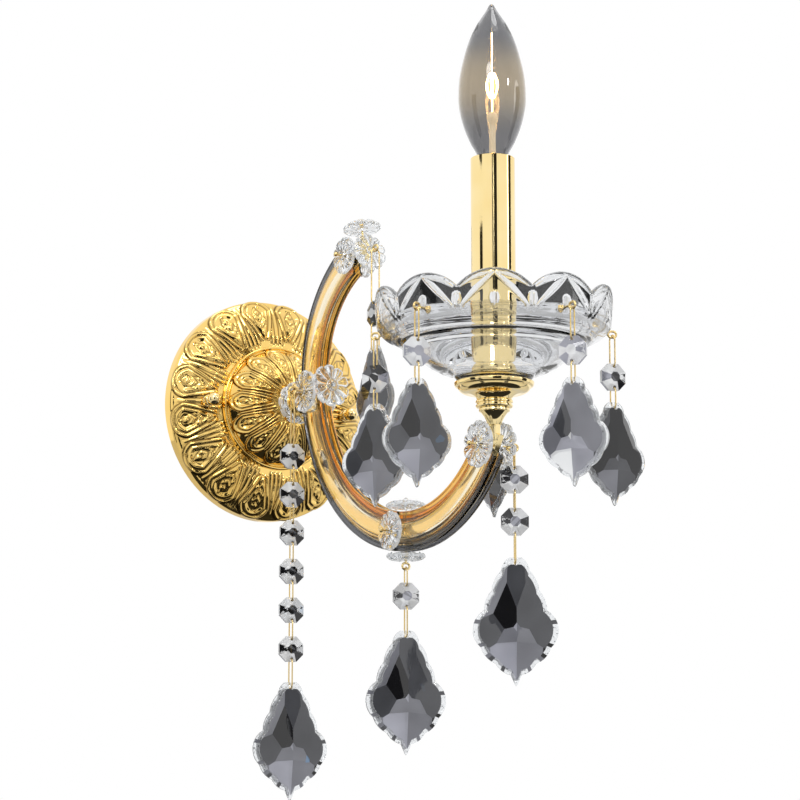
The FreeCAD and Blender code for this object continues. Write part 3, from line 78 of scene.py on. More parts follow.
# arm angles of the four cross pins, from the top of the scroll to its end
PIN_ANGLES = {"top": 110.0, "middle": 180.0 + math.degrees(math.asin(11 / 99)),
              "bottom": 270.0 - math.degrees(math.asin(12 / 99)), "end": 332.58 - 5.5}

# cast petals: start radius, width there, widest radius, width there, tip radius; where the
# outer plate turns down to its rim, its radii are measured along the metal
PLATE_PETAL = (40.0, 6.0, 57.5, 20.2, 65.6)
DOME_PETAL = (13.0, 3.4, 28.6, 11.6, 33.4)
PLATE_RIM = 64.3
# how each plate is cast: spin steps in a petal, share of the petals' height in their bodies
# (the chasing on them is the rest), fineness of the chasing, and the height at which the
# plate turns down to its rim
PLATE_CAST = (44, 0.6, 1.12, 7.2)
DOME_CAST = (40, 0.5, 0.72, 0.0)

# hanging strings: name and the direction that the crystals face, in degrees from the front
DROPS = {"front": -60.0, "front_left": -12.0, "front_right": -8.0, "back_left": -54.0,
         "back_right": -96.0, "top_drop": -90.0, "middle_chain": -18.0,
         "right_chain": -30.0, "wall_chain": -10.0}
LONG_DROPS = ("middle_chain", "right_chain", "wall_chain")
SHORT_LENGTH = 53.0
LONG_LENGTH = 64.0


def linear(code):
    """A colour written as sRGB hex, as linear red, green and blue."""
    parts = []
    for start in (0, 2, 4):
        share = int(code[start:start + 2], 16) / 255
        parts.append(share / 12.92 if share <= 0.04045 else ((share + 0.055) / 1.055) ** 2.4)
    return tuple(parts)


# ---------------------------------------------------------------- settings

def colour_setting(name, code, description):
    return FloatVectorProperty(name=name, description=description, subtype="COLOR", size=3,
                               min=0.0, max=1.0, default=linear(code))


def length_setting(name, millimetres, most, description):
    return FloatProperty(name=name, description=description, default=millimetres * MM,
                         min=0.0, max=most * MM, unit="LENGTH", precision=5)


def count_setting(name, count, fewest, most, description):
    return IntProperty(name=name, description=description, default=count, min=fewest, max=most)


class SconceColours(PropertyGroup):
    """Colours of the finishes."""
    plate: colour_setting("Plate gold", "FFDB86", "Polished gold of the cast plates")
    gold: colour_setting("Turned gold", "FFEAB2", "Bright pale gold of the cup and sleeve")
    gold_wire: colour_setting("Gold wire", "F1D9A0", "Paler gold of the thin wires")
    bowl_glass: colour_setting("Bowl glass", "ECEDEF", "Body colour of the bowl's glass")
    cover_outer: colour_setting("Cover flange", "F6E4BC", "Clear outer flange of the covers")
    # the covers' dark edge is painted shade and the hollow's gold a painted reflection
    cover_painted_dark_edge: colour_setting("Cover edge", "5B5C60", "Dark outermost edge of the covers")
    cover_inner_painted_gold: colour_setting("Cover hollow", "F5BE5C", "Inner flange that mirrors the gold")
    cover_rib: colour_setting("Cover rib", "FFF4D8", "Clear rib over the gold strip")
    # facet greys painted on clear crystal: painted shade in the darker ones, painted
    # reflection in the paler
    shadow: colour_setting("Shadow facet", "161618", "Facets that throw no light back")
    deep: colour_setting("Deep facet", "47484C", "Dark facets of the cut drops")
    middle: colour_setting("Middle facet", "75767D", "Middle grey facets of the cut drops")
    pale: colour_setting("Pale facet", "A1A2AC", "Pale facets of the cut drops")
    clear: colour_setting("Clear glass", "F6F8FA", "Clear facets and edges")
    # the lamp glass's smoky grey is painted shade for the dark room seen in it
    lamp_glass: colour_setting("Lamp glass", "A9A9AB", "Smoky clear glass of the lamp")


class SconceSizes(PropertyGroup):
    """Sizes of the relief and the cuts."""
    plate_lobes: count_setting("Plate lobes", 16, 6, 40, "Petals of the outer plate")
    dome_lobes: count_setting("Dome lobes", 14, 6, 40, "Petals of the dome")
    plate_rise: length_setting("Plate petals", 0.8, 3, "Height of the plate's petals")
    dome_rise: length_setting("Dome petals", 1.0, 3, "Height of the dome's petals")
    chasing: length_setting("Chasing", 1.0, 2, "Height of the fine ridges on petals")
    petals: count_setting("Petals", 10, 5, 16, "Petals of a glass rosette")
    scallops: count_setting("Scallops", 10, 4, 24, "Scallops of the bowl")
    cut_depth: length_setting("Cut depth", 0.8, 2, "Depth of the cuts in the bowl")


class SconceStage(PropertyGroup):
    """Light, camera and backdrop."""
    lens: FloatProperty(name="Lens", description="Focal length of the camera",
                        default=103.5, min=20.0, max=300.0, unit="CAMERA")
    distance: FloatProperty(name="Distance", description="Distance of the camera",
                            default=1.2653, min=0.3, unit="LENGTH")
    azimuth: FloatProperty(name="Azimuth", description="Camera's turn from the front",
                           default=math.radians(-34.04), subtype="ANGLE")
    elevation: FloatProperty(name="Elevation", description="Camera's angle above the horizon",
                             default=math.radians(-10.07), subtype="ANGLE")
    key_power: FloatProperty(name="Key light", description="Power of the main soft light",
                             default=9.0, min=0.0, unit="POWER")
    sky: FloatProperty(name="Room light", description="Strength of the even light of the room",
                       default=0.7, min=0.0, max=2.0)


# ---------------------------------------------------------------- materials

RGBA = {"data_type": "RGBA"}
THICK_GOLD = (0.97, 0.91, 0.76)  # how a thick coat of gold darkens red, green and blue
# brown of the painted shade in the casting's grooves
GROOVE_SHADE_BROWN = linear("5E3C0E")
GLASS_IOR = 1.5
CRYSTAL_IOR = 1.6


def add_node(tree, kind, settings=None, values=None, links=None):
    """Add one node; values fill its sockets and links join sockets to other nodes' outputs."""
    node = tree.nodes.new(kind)
    for name, value in (settings or {}).items():
        setattr(node, name, value)
    for name, value in (values or {}).items():
        node.inputs[name].default_value = value
    for name, output in (links or {}).items():
        tree.links.new(output, node.inputs[name])
    return node


def new_material(name):
    """An empty material and its node tree."""
    material = bpy.data.materials.new(name)
    material.use_nodes = True
    material.node_tree.nodes.clear()
    return material, material.node_tree


def pattern(tree, scale, detail=3.0, spread=None):
    """Noise on Object coordinates, with its scale in waves per metre: an output from 0 to 1,
    or one that is spread between two values."""
    place = add_node(tree, "ShaderNodeTexCoord")
    waves = add_node(tree, "ShaderNodeTexNoise", values={"Scale": scale, "Detail": detail},
                     links={"Vector": place.outputs["Object"]})
    if spread:
        # nearly all of the noise lies between 0.3 and 0.7
        waves = add_node(tree, "ShaderNodeMapRange",
                         values={"From Min": 0.3, "From Max": 0.7, "To Min": spread[0],
                                 "To Max": spread[1]}, links={"Value": waves.outputs[0]})
    return waves.outputs[0]


def surface(material, values, links, waves=None, clear=False):
    """Close a material with its shader. Waves in the skin are a height output, a strength
    and a depth in millimetres. Clear glass lets most light through to what it covers."""
    tree = material.node_tree
    if waves:
        height, strength, depth = waves
        bump = add_node(tree, "ShaderNodeBump", links={"Height": height},
                        values={"Strength": strength, "Distance": depth * MM})
        links = {**links, "Normal": bump.outputs[0]}
    shader = add_node(tree, "ShaderNodeBsdfPrincipled", values=values, links=links)
    if clear:
        path = add_node(tree, "ShaderNodeLightPath")
        through = add_node(tree, "ShaderNodeBsdfTransparent",
                           values={"Color": (0.86, 0.87, 0.88, 1.0)})
        shader = add_node(tree, "ShaderNodeMixShader",
                          links={0: path.outputs["Is Shadow Ray"], 1: shader.outputs[0],
                                 2: through.outputs[0]})
    add_node(tree, "ShaderNodeOutputMaterial", links={"Surface": shader.outputs[0]})
    return material


def polished_gold(name, colour, roughness, wave):
    """Electroplated gold on cast brass: mirror bright, with a faint waviness from the
    polishing wheel that breaks up its reflections, a warmer tone where it is thick, and
    brown painted shade in the casting's grooves."""
    material, tree = new_material(name)
    thick = [part * shade for part, shade in zip(colour, THICK_GOLD)]
    tone = add_node(tree, "ShaderNodeMix", settings=RGBA,
                    values={6: (*thick, 1.0), 7: (*colour, 1.0)},
                    links={0: pattern(tree, 45.0, 2.0, (0.0, 1.0))})
    # painted shade: brown in the grooves, by the share that the relief keeps on the mesh
    groove_shade = add_node(tree, "ShaderNodeAttribute", settings={"attribute_name": "groove_shade"})
    shade = add_node(tree, "ShaderNodeMix", settings=RGBA, values={7: (*GROOVE_SHADE_BROWN, 1.0)},
                     links={0: groove_shade.outputs["Fac"], 6: tone.outputs[2]})
    haze = pattern(tree, 900.0, spread=(roughness * 0.7, roughness * 1.4))
    wheel = pattern(tree, 380.0, 2.0)  # polishing waves about 2.6 mm apart
    return surface(material, {"Metallic": 1.0},
                   {"Base Color": shade.outputs[2], "Roughness": haze}, (wheel, wave, 0.05))


def pressed_glass(name, colour, roughness, wave_scale=260.0, clearness=1.0):
    """Soda-lime glass from a mould: fire-polished skin with slow ripples about 4 mm apart,
    or 2 mm on small pieces, that bend what is seen through it."""
    material, tree = new_material(name)
    return surface(material, {"Base Color": (*colour, 1.0), "Roughness": roughness,
                              "IOR": GLASS_IOR, "Transmission Weight": clearness}, {},
                   (pattern(tree, wave_scale, 1.5), 0.05, 0.12), clear=True)


def blown_glass(name, colour, painted_lit):
    """Blown soda-lime glass of the lamp: thin and smooth, smoky at both ends in a grey that is
    painted shade for the dark room seen in it, and painted light within 27 mm of the hot
    filament: a paler colour and a warm glow, as if the filament lit the glass from inside."""
    material, tree = new_material(name)
    place = add_node(tree, "ShaderNodeTexCoord")
    away = add_node(tree, "ShaderNodeVectorMath", settings={"operation": "DISTANCE"},
                    values={1: at(CANDLE_REACH, FILAMENT_LEVEL)},
                    links={0: place.outputs["Object"]})
    near = add_node(tree, "ShaderNodeMapRange", settings={"interpolation_type": "SMOOTHSTEP"},
                    values={"From Min": 27 * MM, "From Max": 16 * MM},
                    links={"Value": away.outputs["Value"]})
    # painted light near the filament: a paler colour and a warm glow
    body = add_node(tree, "ShaderNodeMix", settings=RGBA,
                    values={6: (*colour, 1.0), 7: (*painted_lit, 1.0)}, links={0: near.outputs[0]})
    painted_glow_strength = add_node(tree, "ShaderNodeMath", settings={"operation": "MULTIPLY"},
                     values={1: 0.022}, links={0: near.outputs[0]})
    return surface(material, {"Roughness": 0.0, "IOR": GLASS_IOR, "Transmission Weight": 1.0,
                              "Emission Color": (*linear("FFD9A0"), 1.0)},
                   {"Base Color": body.outputs[2], "Emission Strength": painted_glow_strength.outputs[0]},
                   clear=True)


def cut_crystal(name, colour, clearness):
    """Lead crystal, cut and polished: flat mirror facets of high index. Each facet is painted
    its own even grey for what it throws back: painted shade on the darker facets, painted
    reflection on the paler ones, with small painted blue flecks where it would split the
    light."""
    material, tree = new_material(name)
    place = add_node(tree, "ShaderNodeTexCoord")
    # painted fire: rare blue flecks standing for where the crystal splits the light
    cells = add_node(tree, "ShaderNodeTexVoronoi", values={"Scale": 260.0},
                     links={"Vector": place.outputs["Object"]})
    painted_fire = add_node(tree, "ShaderNodeMapRange", values={"From Min": 0.95, "From Max": 0.98},
                    links={"Value": cells.outputs["Color"]})
    light = [min(1.0, part * 1.35) for part in colour]
    body = add_node(tree, "ShaderNodeMix", settings=RGBA,
                    values={6: (*colour, 1.0), 7: (*light, 1.0)},
                    links={0: pattern(tree, 60.0, 1.0, (0.0, 1.0))})  # changes over 17 mm
    tinted = add_node(tree, "ShaderNodeMix", settings=RGBA,
                      values={7: (*linear("6BA6DA"), 1.0)},
                      links={0: painted_fire.outputs[0], 6: body.outputs[2]})
    return surface(material, {"Roughness": 0.0, "IOR": CRYSTAL_IOR,
                              "Transmission Weight": clearness},
                   {"Base Color": tinted.outputs[2]}, clear=True)


def mottled_rim(name, colour, tick):
    """The crystal's thin rim, ground by hand in short strokes about 2 mm apart: bright and
    clear, with painted dark ticks, painted shade where a stroke turns the light away."""
    material, tree = new_material(name)
    strokes = pattern(tree, 800.0)
    # painted shade: dark ticks in the tick colour
    dark = add_node(tree, "ShaderNodeMapRange", values={"From Min": 0.36, "From Max": 0.33},
                    links={"Value": strokes})
    body = add_node(tree, "ShaderNodeMix", settings=RGBA,
                    values={6: (*colour, 1.0), 7: (*tick, 1.0)}, links={0: dark.outputs[0]})
    return surface(material, {"Roughness": 0.03, "IOR": GLASS_IOR,
                              "Transmission Weight": 0.85},
                   {"Base Color": body.outputs[2]}, (strokes, 0.5, 0.2), clear=True)


def ground_cut(name, colour):
    """Wheel-cut glass left matt: fine grit scratches make the cuts white and frosty."""
    material, tree = new_material(name)
    return surface(material, {"Base Color": (*colour, 1.0), "Roughness": 0.35,
                              "IOR": GLASS_IOR, "Transmission Weight": 0.45}, {},
                   (pattern(tree, 2600.0, 4.0), 0.4, 0.05), clear=True)


def glowing(name, colour, strength):
    """Hot tungsten, which is a lamp, and the glass stem, whose even warm glow is painted light
    as if the tungsten lit it.
    """
    material, tree = new_material(name)
    shimmer = pattern(tree, 500.0, spread=(strength * 0.85, strength * 1.15))
    return surface(material, {"Base Color": (*colour, 1.0), "Roughness": 0.4,
                              "Emission Color": (*colour, 1.0)},
                   {"Emission Strength": shimmer})


def plain_finish(name, colour, metallic, roughness):
    """Hidden zinc-plated steel, bare brass or black phenolic plastic, each with a slight
    mottle."""
    material, tree = new_material(name)
    darker = [part * 0.8 for part in colour]
    tone = add_node(tree, "ShaderNodeMix", settings=RGBA,
                    values={6: (*darker, 1.0), 7: (*colour, 1.0)},
                    links={0: pattern(tree, 300.0)})
    rough = pattern(tree, 700.0, spread=(roughness * 0.8, roughness * 1.2))
    return surface(material, {"Metallic": metallic},
                   {"Base Color": tone.outputs[2], "Roughness": rough})


finishes = {}


def make_finishes(colours):
    """Every material of the sconce, by its own name."""
    clear = colours.clear
    finishes.update({
        "plate_gold": polished_gold("cast_brass_gold_plated", colours.plate, 0.07, 0.05),
        "turned_gold": polished_gold("turned_brass_gold_plated", colours.gold, 0.04, 0.04),
        "strip_gold": polished_gold("rolled_brass_gold_plated", colours.gold, 0.10, 0.1),
        "wire_gold": polished_gold("drawn_wire_gold_plated", colours.gold_wire, 0.15, 0.05),
        "bowl": pressed_glass("pressed_glass_bowl", colours.bowl_glass, 0.02),
        "flange": pressed_glass("pressed_glass_flange", colours.cover_outer, 0.03),
        "flange_painted_dark_edge": pressed_glass("pressed_glass_painted_dark_edge", colours.cover_painted_dark_edge, 0.03),
        "hollow": pressed_glass("pressed_glass_painted_gold_reflection", colours.cover_inner_painted_gold, 0.03),
        "rib": pressed_glass("pressed_glass_rib", colours.cover_rib, 0.03),
        "rosette": pressed_glass("pressed_glass_rosette", clear, 0.02, 500.0),
        "petal_edge": pressed_glass("rounded_petal_edge", clear, 0.12, 500.0, 0.55),
        "edge": mottled_rim("ground_rim_polished", clear, colours.deep),
        "cut": ground_cut("wheel_cut_glass", clear),
        # lit and shaded copies of cut crystal: painted shade and painted reflection by facet
        "shadow": cut_crystal("cut_crystal_painted_shadow", colours.shadow, 0.25),
        "deep": cut_crystal("cut_crystal_painted_deep_grey", colours.deep, 0.25),
        "middle": cut_crystal("cut_crystal_painted_middle_grey", colours.middle, 0.25),
        "pale": cut_crystal("cut_crystal_painted_pale_grey", colours.pale, 0.35),
        "bright": cut_crystal("cut_crystal_painted_bright", clear, 0.45),
        # lamp glass: painted shade in its grey, painted glow near the filament
        "lamp": blown_glass("blown_lamp_glass", colours.lamp_glass, linear("C6BFB2")),
        "filament": glowing("hot_tungsten_filament", linear("FFD08A"), 30.0),
        # painted glow: the glass stem glows as if lit by the filament
        "stem": glowing("lamp_stem_glass_painted_glow", linear("FFE7BE"), 1.1),
        "steel": plain_finish("zinc_plated_steel", linear("B9BAB8"), 1.0, 0.35),
        "brass": plain_finish("plain_brass_contact", linear("C8A560"), 1.0, 0.3),
        "plastic": plain_finish("black_phenolic_socket", linear("1E1D1B"), 0.0, 0.5),
    })


# ---------------------------------------------------------------- mesh helpers

OUT_OF_WALL = Matrix.Rotation(math.pi / 2, 4, "X")  # turns +Z to -Y
SECTOR_COUNTS = (16, 14, 12, 10, 8, 1)


def at(reach, height, across=0.0):
    """A place given in millimetres by its reach out of the wall, height and x."""
    return Vector((across * MM, -reach * MM, height * MM))


def placed(bm, matrix):
    """Move a whole shape by a matrix."""
    bmesh.ops.transform(bm, matrix=matrix, verts=bm.verts[:])
    return bm


def mesh_of(bm, name):
    """Write a bmesh to a new mesh and free it."""
    mesh = bpy.data.meshes.new(name)
    bm.to_mesh(mesh)
    bm.free()
    return mesh


def spun(profile, steps):
    """Turn a closed (radius, height) profile in millimetres about Z. One sector is spun, and
    the others are copies of it, because one long spin of many steps takes minutes."""
    sectors = next(count for count in SECTOR_COUNTS if steps % count == 0)
    bm = bmesh.new()
    verts = [bm.verts.new((radius * MM, 0, height * MM)) for radius, height in profile]
    edges = [bm.edges.new(pair) for pair in zip(verts, verts[1:] + verts[:1])]
    bmesh.ops.spin(bm, geom=verts + edges, cent=(0, 0, 0), axis=(0, 0, 1),
                   angle=2 * math.pi / sectors, steps=steps // sectors)
    sector = mesh_of(bm, "sector")
    whole = bmesh.new()
    for _ in range(sectors):
        whole.from_mesh(sector)
        sector.transform(Matrix.Rotation(2 * math.pi / sectors, 4, "Z"))
    bpy.data.meshes.remove(sector)
    bmesh.ops.remove_doubles(whole, verts=whole.verts[:], dist=MERGE)
    bmesh.ops.recalc_face_normals(whole, faces=whole.faces[:])
    return whole


def run(first, last, count):
    """Evenly spaced places from first to last, without the last."""
    return [(first[0] + (last[0] - first[0]) * k / count,
             first[1] + (last[1] - first[1]) * k / count) for k in range(count)]


def arc(first, via, last, count):
    """Places on the circle through three places, without the last."""
    ax, ay = first
    bx, by = via
    cx, cy = last
    det = 2 * (ax * (by - cy) + bx * (cy - ay) + cx * (ay - by))
    squares = [p[0] ** 2 + p[1] ** 2 for p in (first, via, last)]
    ux = (squares[0] * (by - cy) + squares[1] * (cy - ay) + squares[2] * (ay - by)) / det
    uy = (squares[0] * (cx - bx) + squares[1] * (ax - cx) + squares[2] * (bx - ax)) / det
    radius = math.hypot(ax - ux, ay - uy)
    start = math.atan2(ay - uy, ax - ux)
    middle = (math.atan2(by - uy, bx - ux) - start) % (2 * math.pi)
    sweep = (math.atan2(cy - uy, cx - ux) - start) % (2 * math.pi)
    if middle > sweep:
        sweep -= 2 * math.pi
    return [(ux + radius * math.cos(start + sweep * k / count),
             uy + radius * math.sin(start + sweep * k / count)) for k in range(count)]


def trace(*parts):
    """Places along a profile. A part is one place, a straight stretch (count, last) or an
    arc (count, via, last). A stretch starts where the part before it ends, and its own end
    is among the places only if the next part starts there or names it."""
    line = []
    for part in parts:
        if isinstance(part[1], tuple):
            count, *via, last = part
            if line[-1] == here:
                line.pop()
            line += arc(here, *via, last, count) if via else run(here, last, count)
            here = last
        else:
            line.append(part)
            here = part
    return line


def gauss(distance, width):
    return math.exp(-(distance / width) ** 2)


def smooth(share):
    share = min(1.0, max(0.0, share))
    return share * share * (3 - 2 * share)


def add_piece(bm, name, body, materials, nodes, sharp=35.0):
    """Make a bmesh the finished piece that rides on a body and stands for CAD nodes."""
    for face in bm.faces:
        face.smooth = True
    mesh = mesh_of(bm, name)
    mesh.set_sharp_from_angle(angle=math.radians(sharp))
    for material in materials:
        mesh.materials.append(finishes[material])
    piece = bpy.data.objects.new(name, mesh)
    bpy.context.scene.collection.objects.link(piece)
    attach(piece, body)
    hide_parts(*nodes)


def joined(parts):
    """One bmesh from several."""
    whole = bmesh.new()
    for part in parts:
        mesh = mesh_of(part, "part")
        whole.from_mesh(mesh)
        bpy.data.meshes.remove(mesh)
    return whole


# ---------------------------------------------------------------- gold plates

# the chasing, in units of its fineness: height of each ridge, its distance inside the
# petal's outline and its width; then the same for the slope into the dished field
RIDGES = ((0.50, 0.9, 0.75), (-0.30, 2.1, 0.5), (0.42, 3.2, 0.7))
FIELD = (0.60, 3.8, 1.2)
RIB_PITCH = 2.5
VEIN_PITCH = 3.4
VEIN_SLANT = 3.6


def petal_depth(across, along, petal):
    """How far inside a petal's outline a place is, in millimetres: across its axis, and
    along it from the plate's centre."""
    start, root, wide, width, tip = petal
    round_end = (width ** 2 / 4 + (tip - wide) ** 2) / (2 * (tip - wide))
    centre = tip - round_end
    slope = (width - root) / 2 / (wide - start)
    side = (root / 2 + (along - start) * slope - abs(across)) / math.hypot(1, slope)
    if along > centre:
        side = min(side, round_end - math.hypot(across, along - centre))
    return side


def casting(radius, angle, lobes, petal, fine):
    """The casting at a place: 1 on a petal and 0 between petals, the height of the chasing
    in millimetres, and the share of painted shade, 1 deep in a groove. The chasing is a double
    outline round a dished field with a veined leaf in it, and straight ribs between the
    petals."""
    pitch = 2 * math.pi / lobes
    turn = (angle - math.pi / 2) / pitch - 0.5
    local = (turn - round(turn)) * pitch
    across = radius * math.sin(local)
    along = radius * math.cos(local)
    start, tip = petal[0], petal[4]
    depth = petal_depth(across, along, petal)
    fade = smooth((along - start + 1.0) / 3.0)
    on_petal = smooth((depth + 0.2 * fine) / (0.6 * fine)) * fade
    ridges = sum(height * gauss(depth - inside * fine, width * fine)
                 for height, inside, width in RIDGES)
    ridges -= FIELD[0] * smooth((depth - FIELD[1] * fine) / (FIELD[2] * fine))
    # share of painted shade along the grooves of the outline, the leaf and the ribs
    groove_shade = max(gauss(depth + 0.1 * fine, 0.45 * fine),
                 0.8 * gauss(depth - 2.1 * fine, 0.4 * fine)) * fade
    share = (along - start - 1.0) / (tip - 4.2 * fine - start - 1.0)
    if 0 < share < 1 and depth > 3.0 * fine:
        # a pointed leaf with slanting veins and a midrib
        leaf = 3.0 * fine * math.sin(math.pi * share ** 1.25) - abs(across)
        grain = math.cos(2 * math.pi * (along / (VEIN_PITCH * fine)
                                        - abs(across) / (VEIN_SLANT * fine)))
        on_leaf = smooth(leaf / (0.9 * fine))
        ridges += on_leaf * (0.50 + 0.28 * grain + 0.20 * gauss(across, 0.5 * fine))
        groove_shade = max(groove_shade, 0.75 * gauss(leaf + 0.2 * fine, 0.45 * fine),
                     0.6 * on_leaf * smooth((-grain - 0.3) / 0.5))
    # straight ribs between this petal and the next
    gap = radius * math.sin(pitch / 2 - abs(local))
    outside = smooth((-depth - 0.1 * fine) / (0.5 * fine))
    rib = math.cos(2 * math.pi * gap / (RIB_PITCH * fine))
    ribs = (0.28 + 0.30 * rib) * outside
    inner = smooth((tip - 2.0 * fine - radius) / (5.0 * fine))
    ring = smooth((radius - start + 2.5 * fine) / (1.5 * fine))
    groove_shade = max(groove_shade, 0.7 * smooth((-rib - 0.3) / 0.5) * outside * inner)
    return on_petal, (ridges * fade + ribs * inner) * ring, groove_shade * ring


def relief(bm, lobes, petal, rise, chasing, fine, bend):
    """Raise a turned shell's front by the casting; below the height bend in millimetres the
    radius is measured on down the rim."""
    bm.normal_update()
    # share of painted shade in the grooves, kept on the mesh for the gold's colour
    layer = bm.verts.layers.float.new("groove_shade")
    moved = []
    for vert in bm.verts:
        span = math.hypot(vert.co.x, vert.co.y) / MM
        on_rim = span > PLATE_RIM and vert.normal.z > -0.1
        if vert.normal.z < 0.05 and not on_rim:
            continue
        radius = span + 0.8 * max(0.0, bend - vert.co.z / MM)
        if not petal[0] - 2.5 * fine < radius < petal[4] + 1.5:
            continue
        angle = math.atan2(vert.co.y, vert.co.x)
        on_petal, chased, groove_shade = casting(radius, angle, lobes, petal, fine)
        vert[layer] = groove_shade
        moved.append((vert, vert.normal.copy() * (rise * on_petal + chasing * chased)))
    for vert, shift in moved:
        vert.co += shift


class SCONCE_OT_plates(Operator):
    """Cast outer plate and dome with their petals"""
    bl_idname = "sconce.plates"
    bl_label = "Gold plates"

    def execute(self, context):
        sizes = context.scene.sconce_sizes
        outer = trace((64.4, 0.6), (9, (64.4, 4.4)), (7, (64.0, 6.0), (62.4, 7.2)),
                      (66, (51.0, 13.4), (38.0, 15.6)), (38.0, 15.6), (36.5, 15.95),
                      (4.85, 15.95), (4.85, 14.0), (37.4, 14.0),
                      (10, (50.5, 11.4), (61.0, 5.8)), (61.0, 5.8), (63.0, 3.8),
                      (63.0, 0.05), (64.4, 0.05))
        dome = trace((36.0, 16.2), (3, (36.0, 18.0)), (6, (35.2, 18.8), (34.3, 18.2)),
                     (3, (33.8, 17.9), (33.2, 18.8)), (64, (25.3, 29.4), (9.0, 35.8)),
                     (4, (4.85, 35.9)), (4.85, 35.9), (4.85, 34.0), (8.6, 34.0),
                     (12, (23.5, 28.4), (31.4, 16.2)), (31.4, 16.2))
        for name, node, profile, lobes, petal, rise, (steps, share, fine, bend) in (
                ("outer_plate", "backplate_outer", outer, sizes.plate_lobes, PLATE_PETAL,
                 sizes.plate_rise, PLATE_CAST),
                ("dome_plate", "backplate_dome", dome, sizes.dome_lobes, DOME_PETAL,
                 sizes.dome_rise, DOME_CAST)):
            bm = spun(profile, lobes * steps)
            relief(bm, lobes, petal, rise * share, sizes.chasing, fine, bend)
            add_piece(placed(bm, OUT_OF_WALL), name, ROOT, ["plate_gold"], [node],
                      75.0)
        return {"FINISHED"}


class SCONCE_OT_ball_nuts(Operator):
    """Turned nuts with a ball end that hold the outer plate"""
    bl_idname = "sconce.ball_nuts"
    bl_label = "Ball nuts"

    def execute(self, context):
        profile = trace((2.1, 15.9), (3.3, 15.9), (2, (3.3, 17.4)),
                        (5, (2.7, 18.0), (3.3, 18.6)), (2, (3.3, 20.4)),
                        (4, (2.6, 21.0), (2.7, 21.6)), (18, (3.8, 24.4), (0.0, 28.1)),
                        (0.0, 28.1), (0.0, 21.2), (2.1, 21.2))
        for across, body in ((-STUD_SPACING, "ball_nut_left"),
                             (STUD_SPACING, "ball_nut_right")):
            nut = placed(spun(profile, 40),
                         Matrix.Translation(at(0.0, 0.0, across)) @ OUT_OF_WALL)
            add_piece(nut, body + "_turned", body, ["turned_gold"], [body])
        return {"FINISHED"}


# ---------------------------------------------------------------- arm

# section of a cover: offset from the arm's middle line and x
COVER = trace((-10.5, 1.6), (6, (10.5, 1.6)), (10.5, 1.6), (10.5, 2.5),
              (4, (10.2, 3.0), (9.7, 3.1)), (8, (7.4, 2.5), (5.4, 3.2)),
              (3, (5.0, 3.5), (4.4, 3.6)), (14, (0.0, 5.15), (-4.4, 3.6)),
              (3, (-5.0, 3.5), (-5.4, 3.2)), (8, (-7.4, 2.5), (-9.7, 3.1)),
              (4, (-10.2, 3.0), (-10.5, 2.5)), (-10.5, 2.5))
# offsets where the cover's rib, its flange and its dark edge end
RIB_END = 5.2
FLANGE_END = 7.6
EDGE_END = 10.3


def arm_sweep(section, first, last):
    """Sweep a closed (offset, x) section in millimetres along the arm, from one arm angle
    to another."""
    bm = bmesh.new()
    reach, height, radius = next(shape[:3] for shape in ARM_ARCS
                                 if shape[3] - MERGE <= first < shape[4])
    turn = math.radians(first)
    verts = [bm.verts.new(at(reach + (radius + offset) * math.cos(turn),
                             height + (radius + offset) * math.sin(turn), across))
             for offset, across in section]
    edges = [bm.edges.new(pair) for pair in zip(verts, verts[1:] + verts[:1])]
    bmesh.ops.contextual_create(bm, geom=edges)
    geom = verts + edges
    for reach, height, radius, low, high in ARM_ARCS:
        begin = max(first, low)
        end = min(last, high)
        if end <= begin:
            continue
        steps = max(4, int((end - begin) * radius / 90.0))
        swept = bmesh.ops.spin(bm, geom=geom, cent=at(reach, height), axis=(-1, 0, 0),
                               angle=math.radians(end - begin), steps=steps)
        geom = [g for g in swept["geom_last"] if not isinstance(g, bmesh.types.BMFace)]
    bmesh.ops.contextual_create(
        bm, geom=[g for g in geom if isinstance(g, bmesh.types.BMEdge)])
    bmesh.ops.recalc_face_normals(bm, faces=bm.faces[:])
    return bm


class SCONCE_OT_arm(Operator):
    """Moulded glass covers on the sides of the arm's gold strip"""
    bl_idname = "sconce.arm"
    bl_label = "Arm covers"

    def execute(self, context):
        # the covers stop short of the pins by these arm angles on each arc
        top, low, rise = 1.09, 0.69, 0.86
        spans = {"upper": (PIN_ANGLES["top"] + top, PIN_ANGLES["middle"] - low),
                 "lower": (PIN_ANGLES["middle"] + low, PIN_ANGLES["bottom"] - low),
                 "front": (PIN_ANGLES["bottom"] + low, PIN_ANGLES["end"] - rise)}
        for name, (first, last) in spans.items():
            pair = []
            for side in (-1, 1):
                section = [(offset, side * across) for offset, across in COVER]
                cover = arm_sweep(section, first, last)
                colour_cover(cover)
                pair.append(cover)
            add_piece(joined(pair), f"arm_covers_{name}_moulded", ROOT,
                      ["rib", "flange", "hollow", "flange_painted_dark_edge"], [f"arm_covers_{name}"],
                      25.0)
        return {"FINISHED"}


def colour_cover(bm):
    """The outer flange is clear with a dark edge of painted shade, the inner one is painted
    with the gold's colour as a painted reflection, and the rib and the thin rims stay clear."""
    for face in bm.faces:
        centre = face.calc_center_median()
        reach = -centre.y / MM
        height = centre.z / MM
        offsets = []
        for shape in ARM_ARCS:
            turn = math.degrees(math.atan2(height - shape[1], reach - shape[0])) % 360
            if shape[3] - 1 <= turn <= shape[4] + 1:
                offsets.append(math.hypot(height - shape[1], reach - shape[0]) - shape[2])
        offset = min(offsets, key=abs)
        if abs(offset) > EDGE_END:
            continue
        # slot 3 is the painted dark edge, slot 2 the painted gold reflection
        if offset > FLANGE_END:
            face.material_index = 3
        elif offset > RIB_END:
            face.material_index = 1
        elif offset < -RIB_END:
            face.material_index = 2


# ---------------------------------------------------------------- rosettes

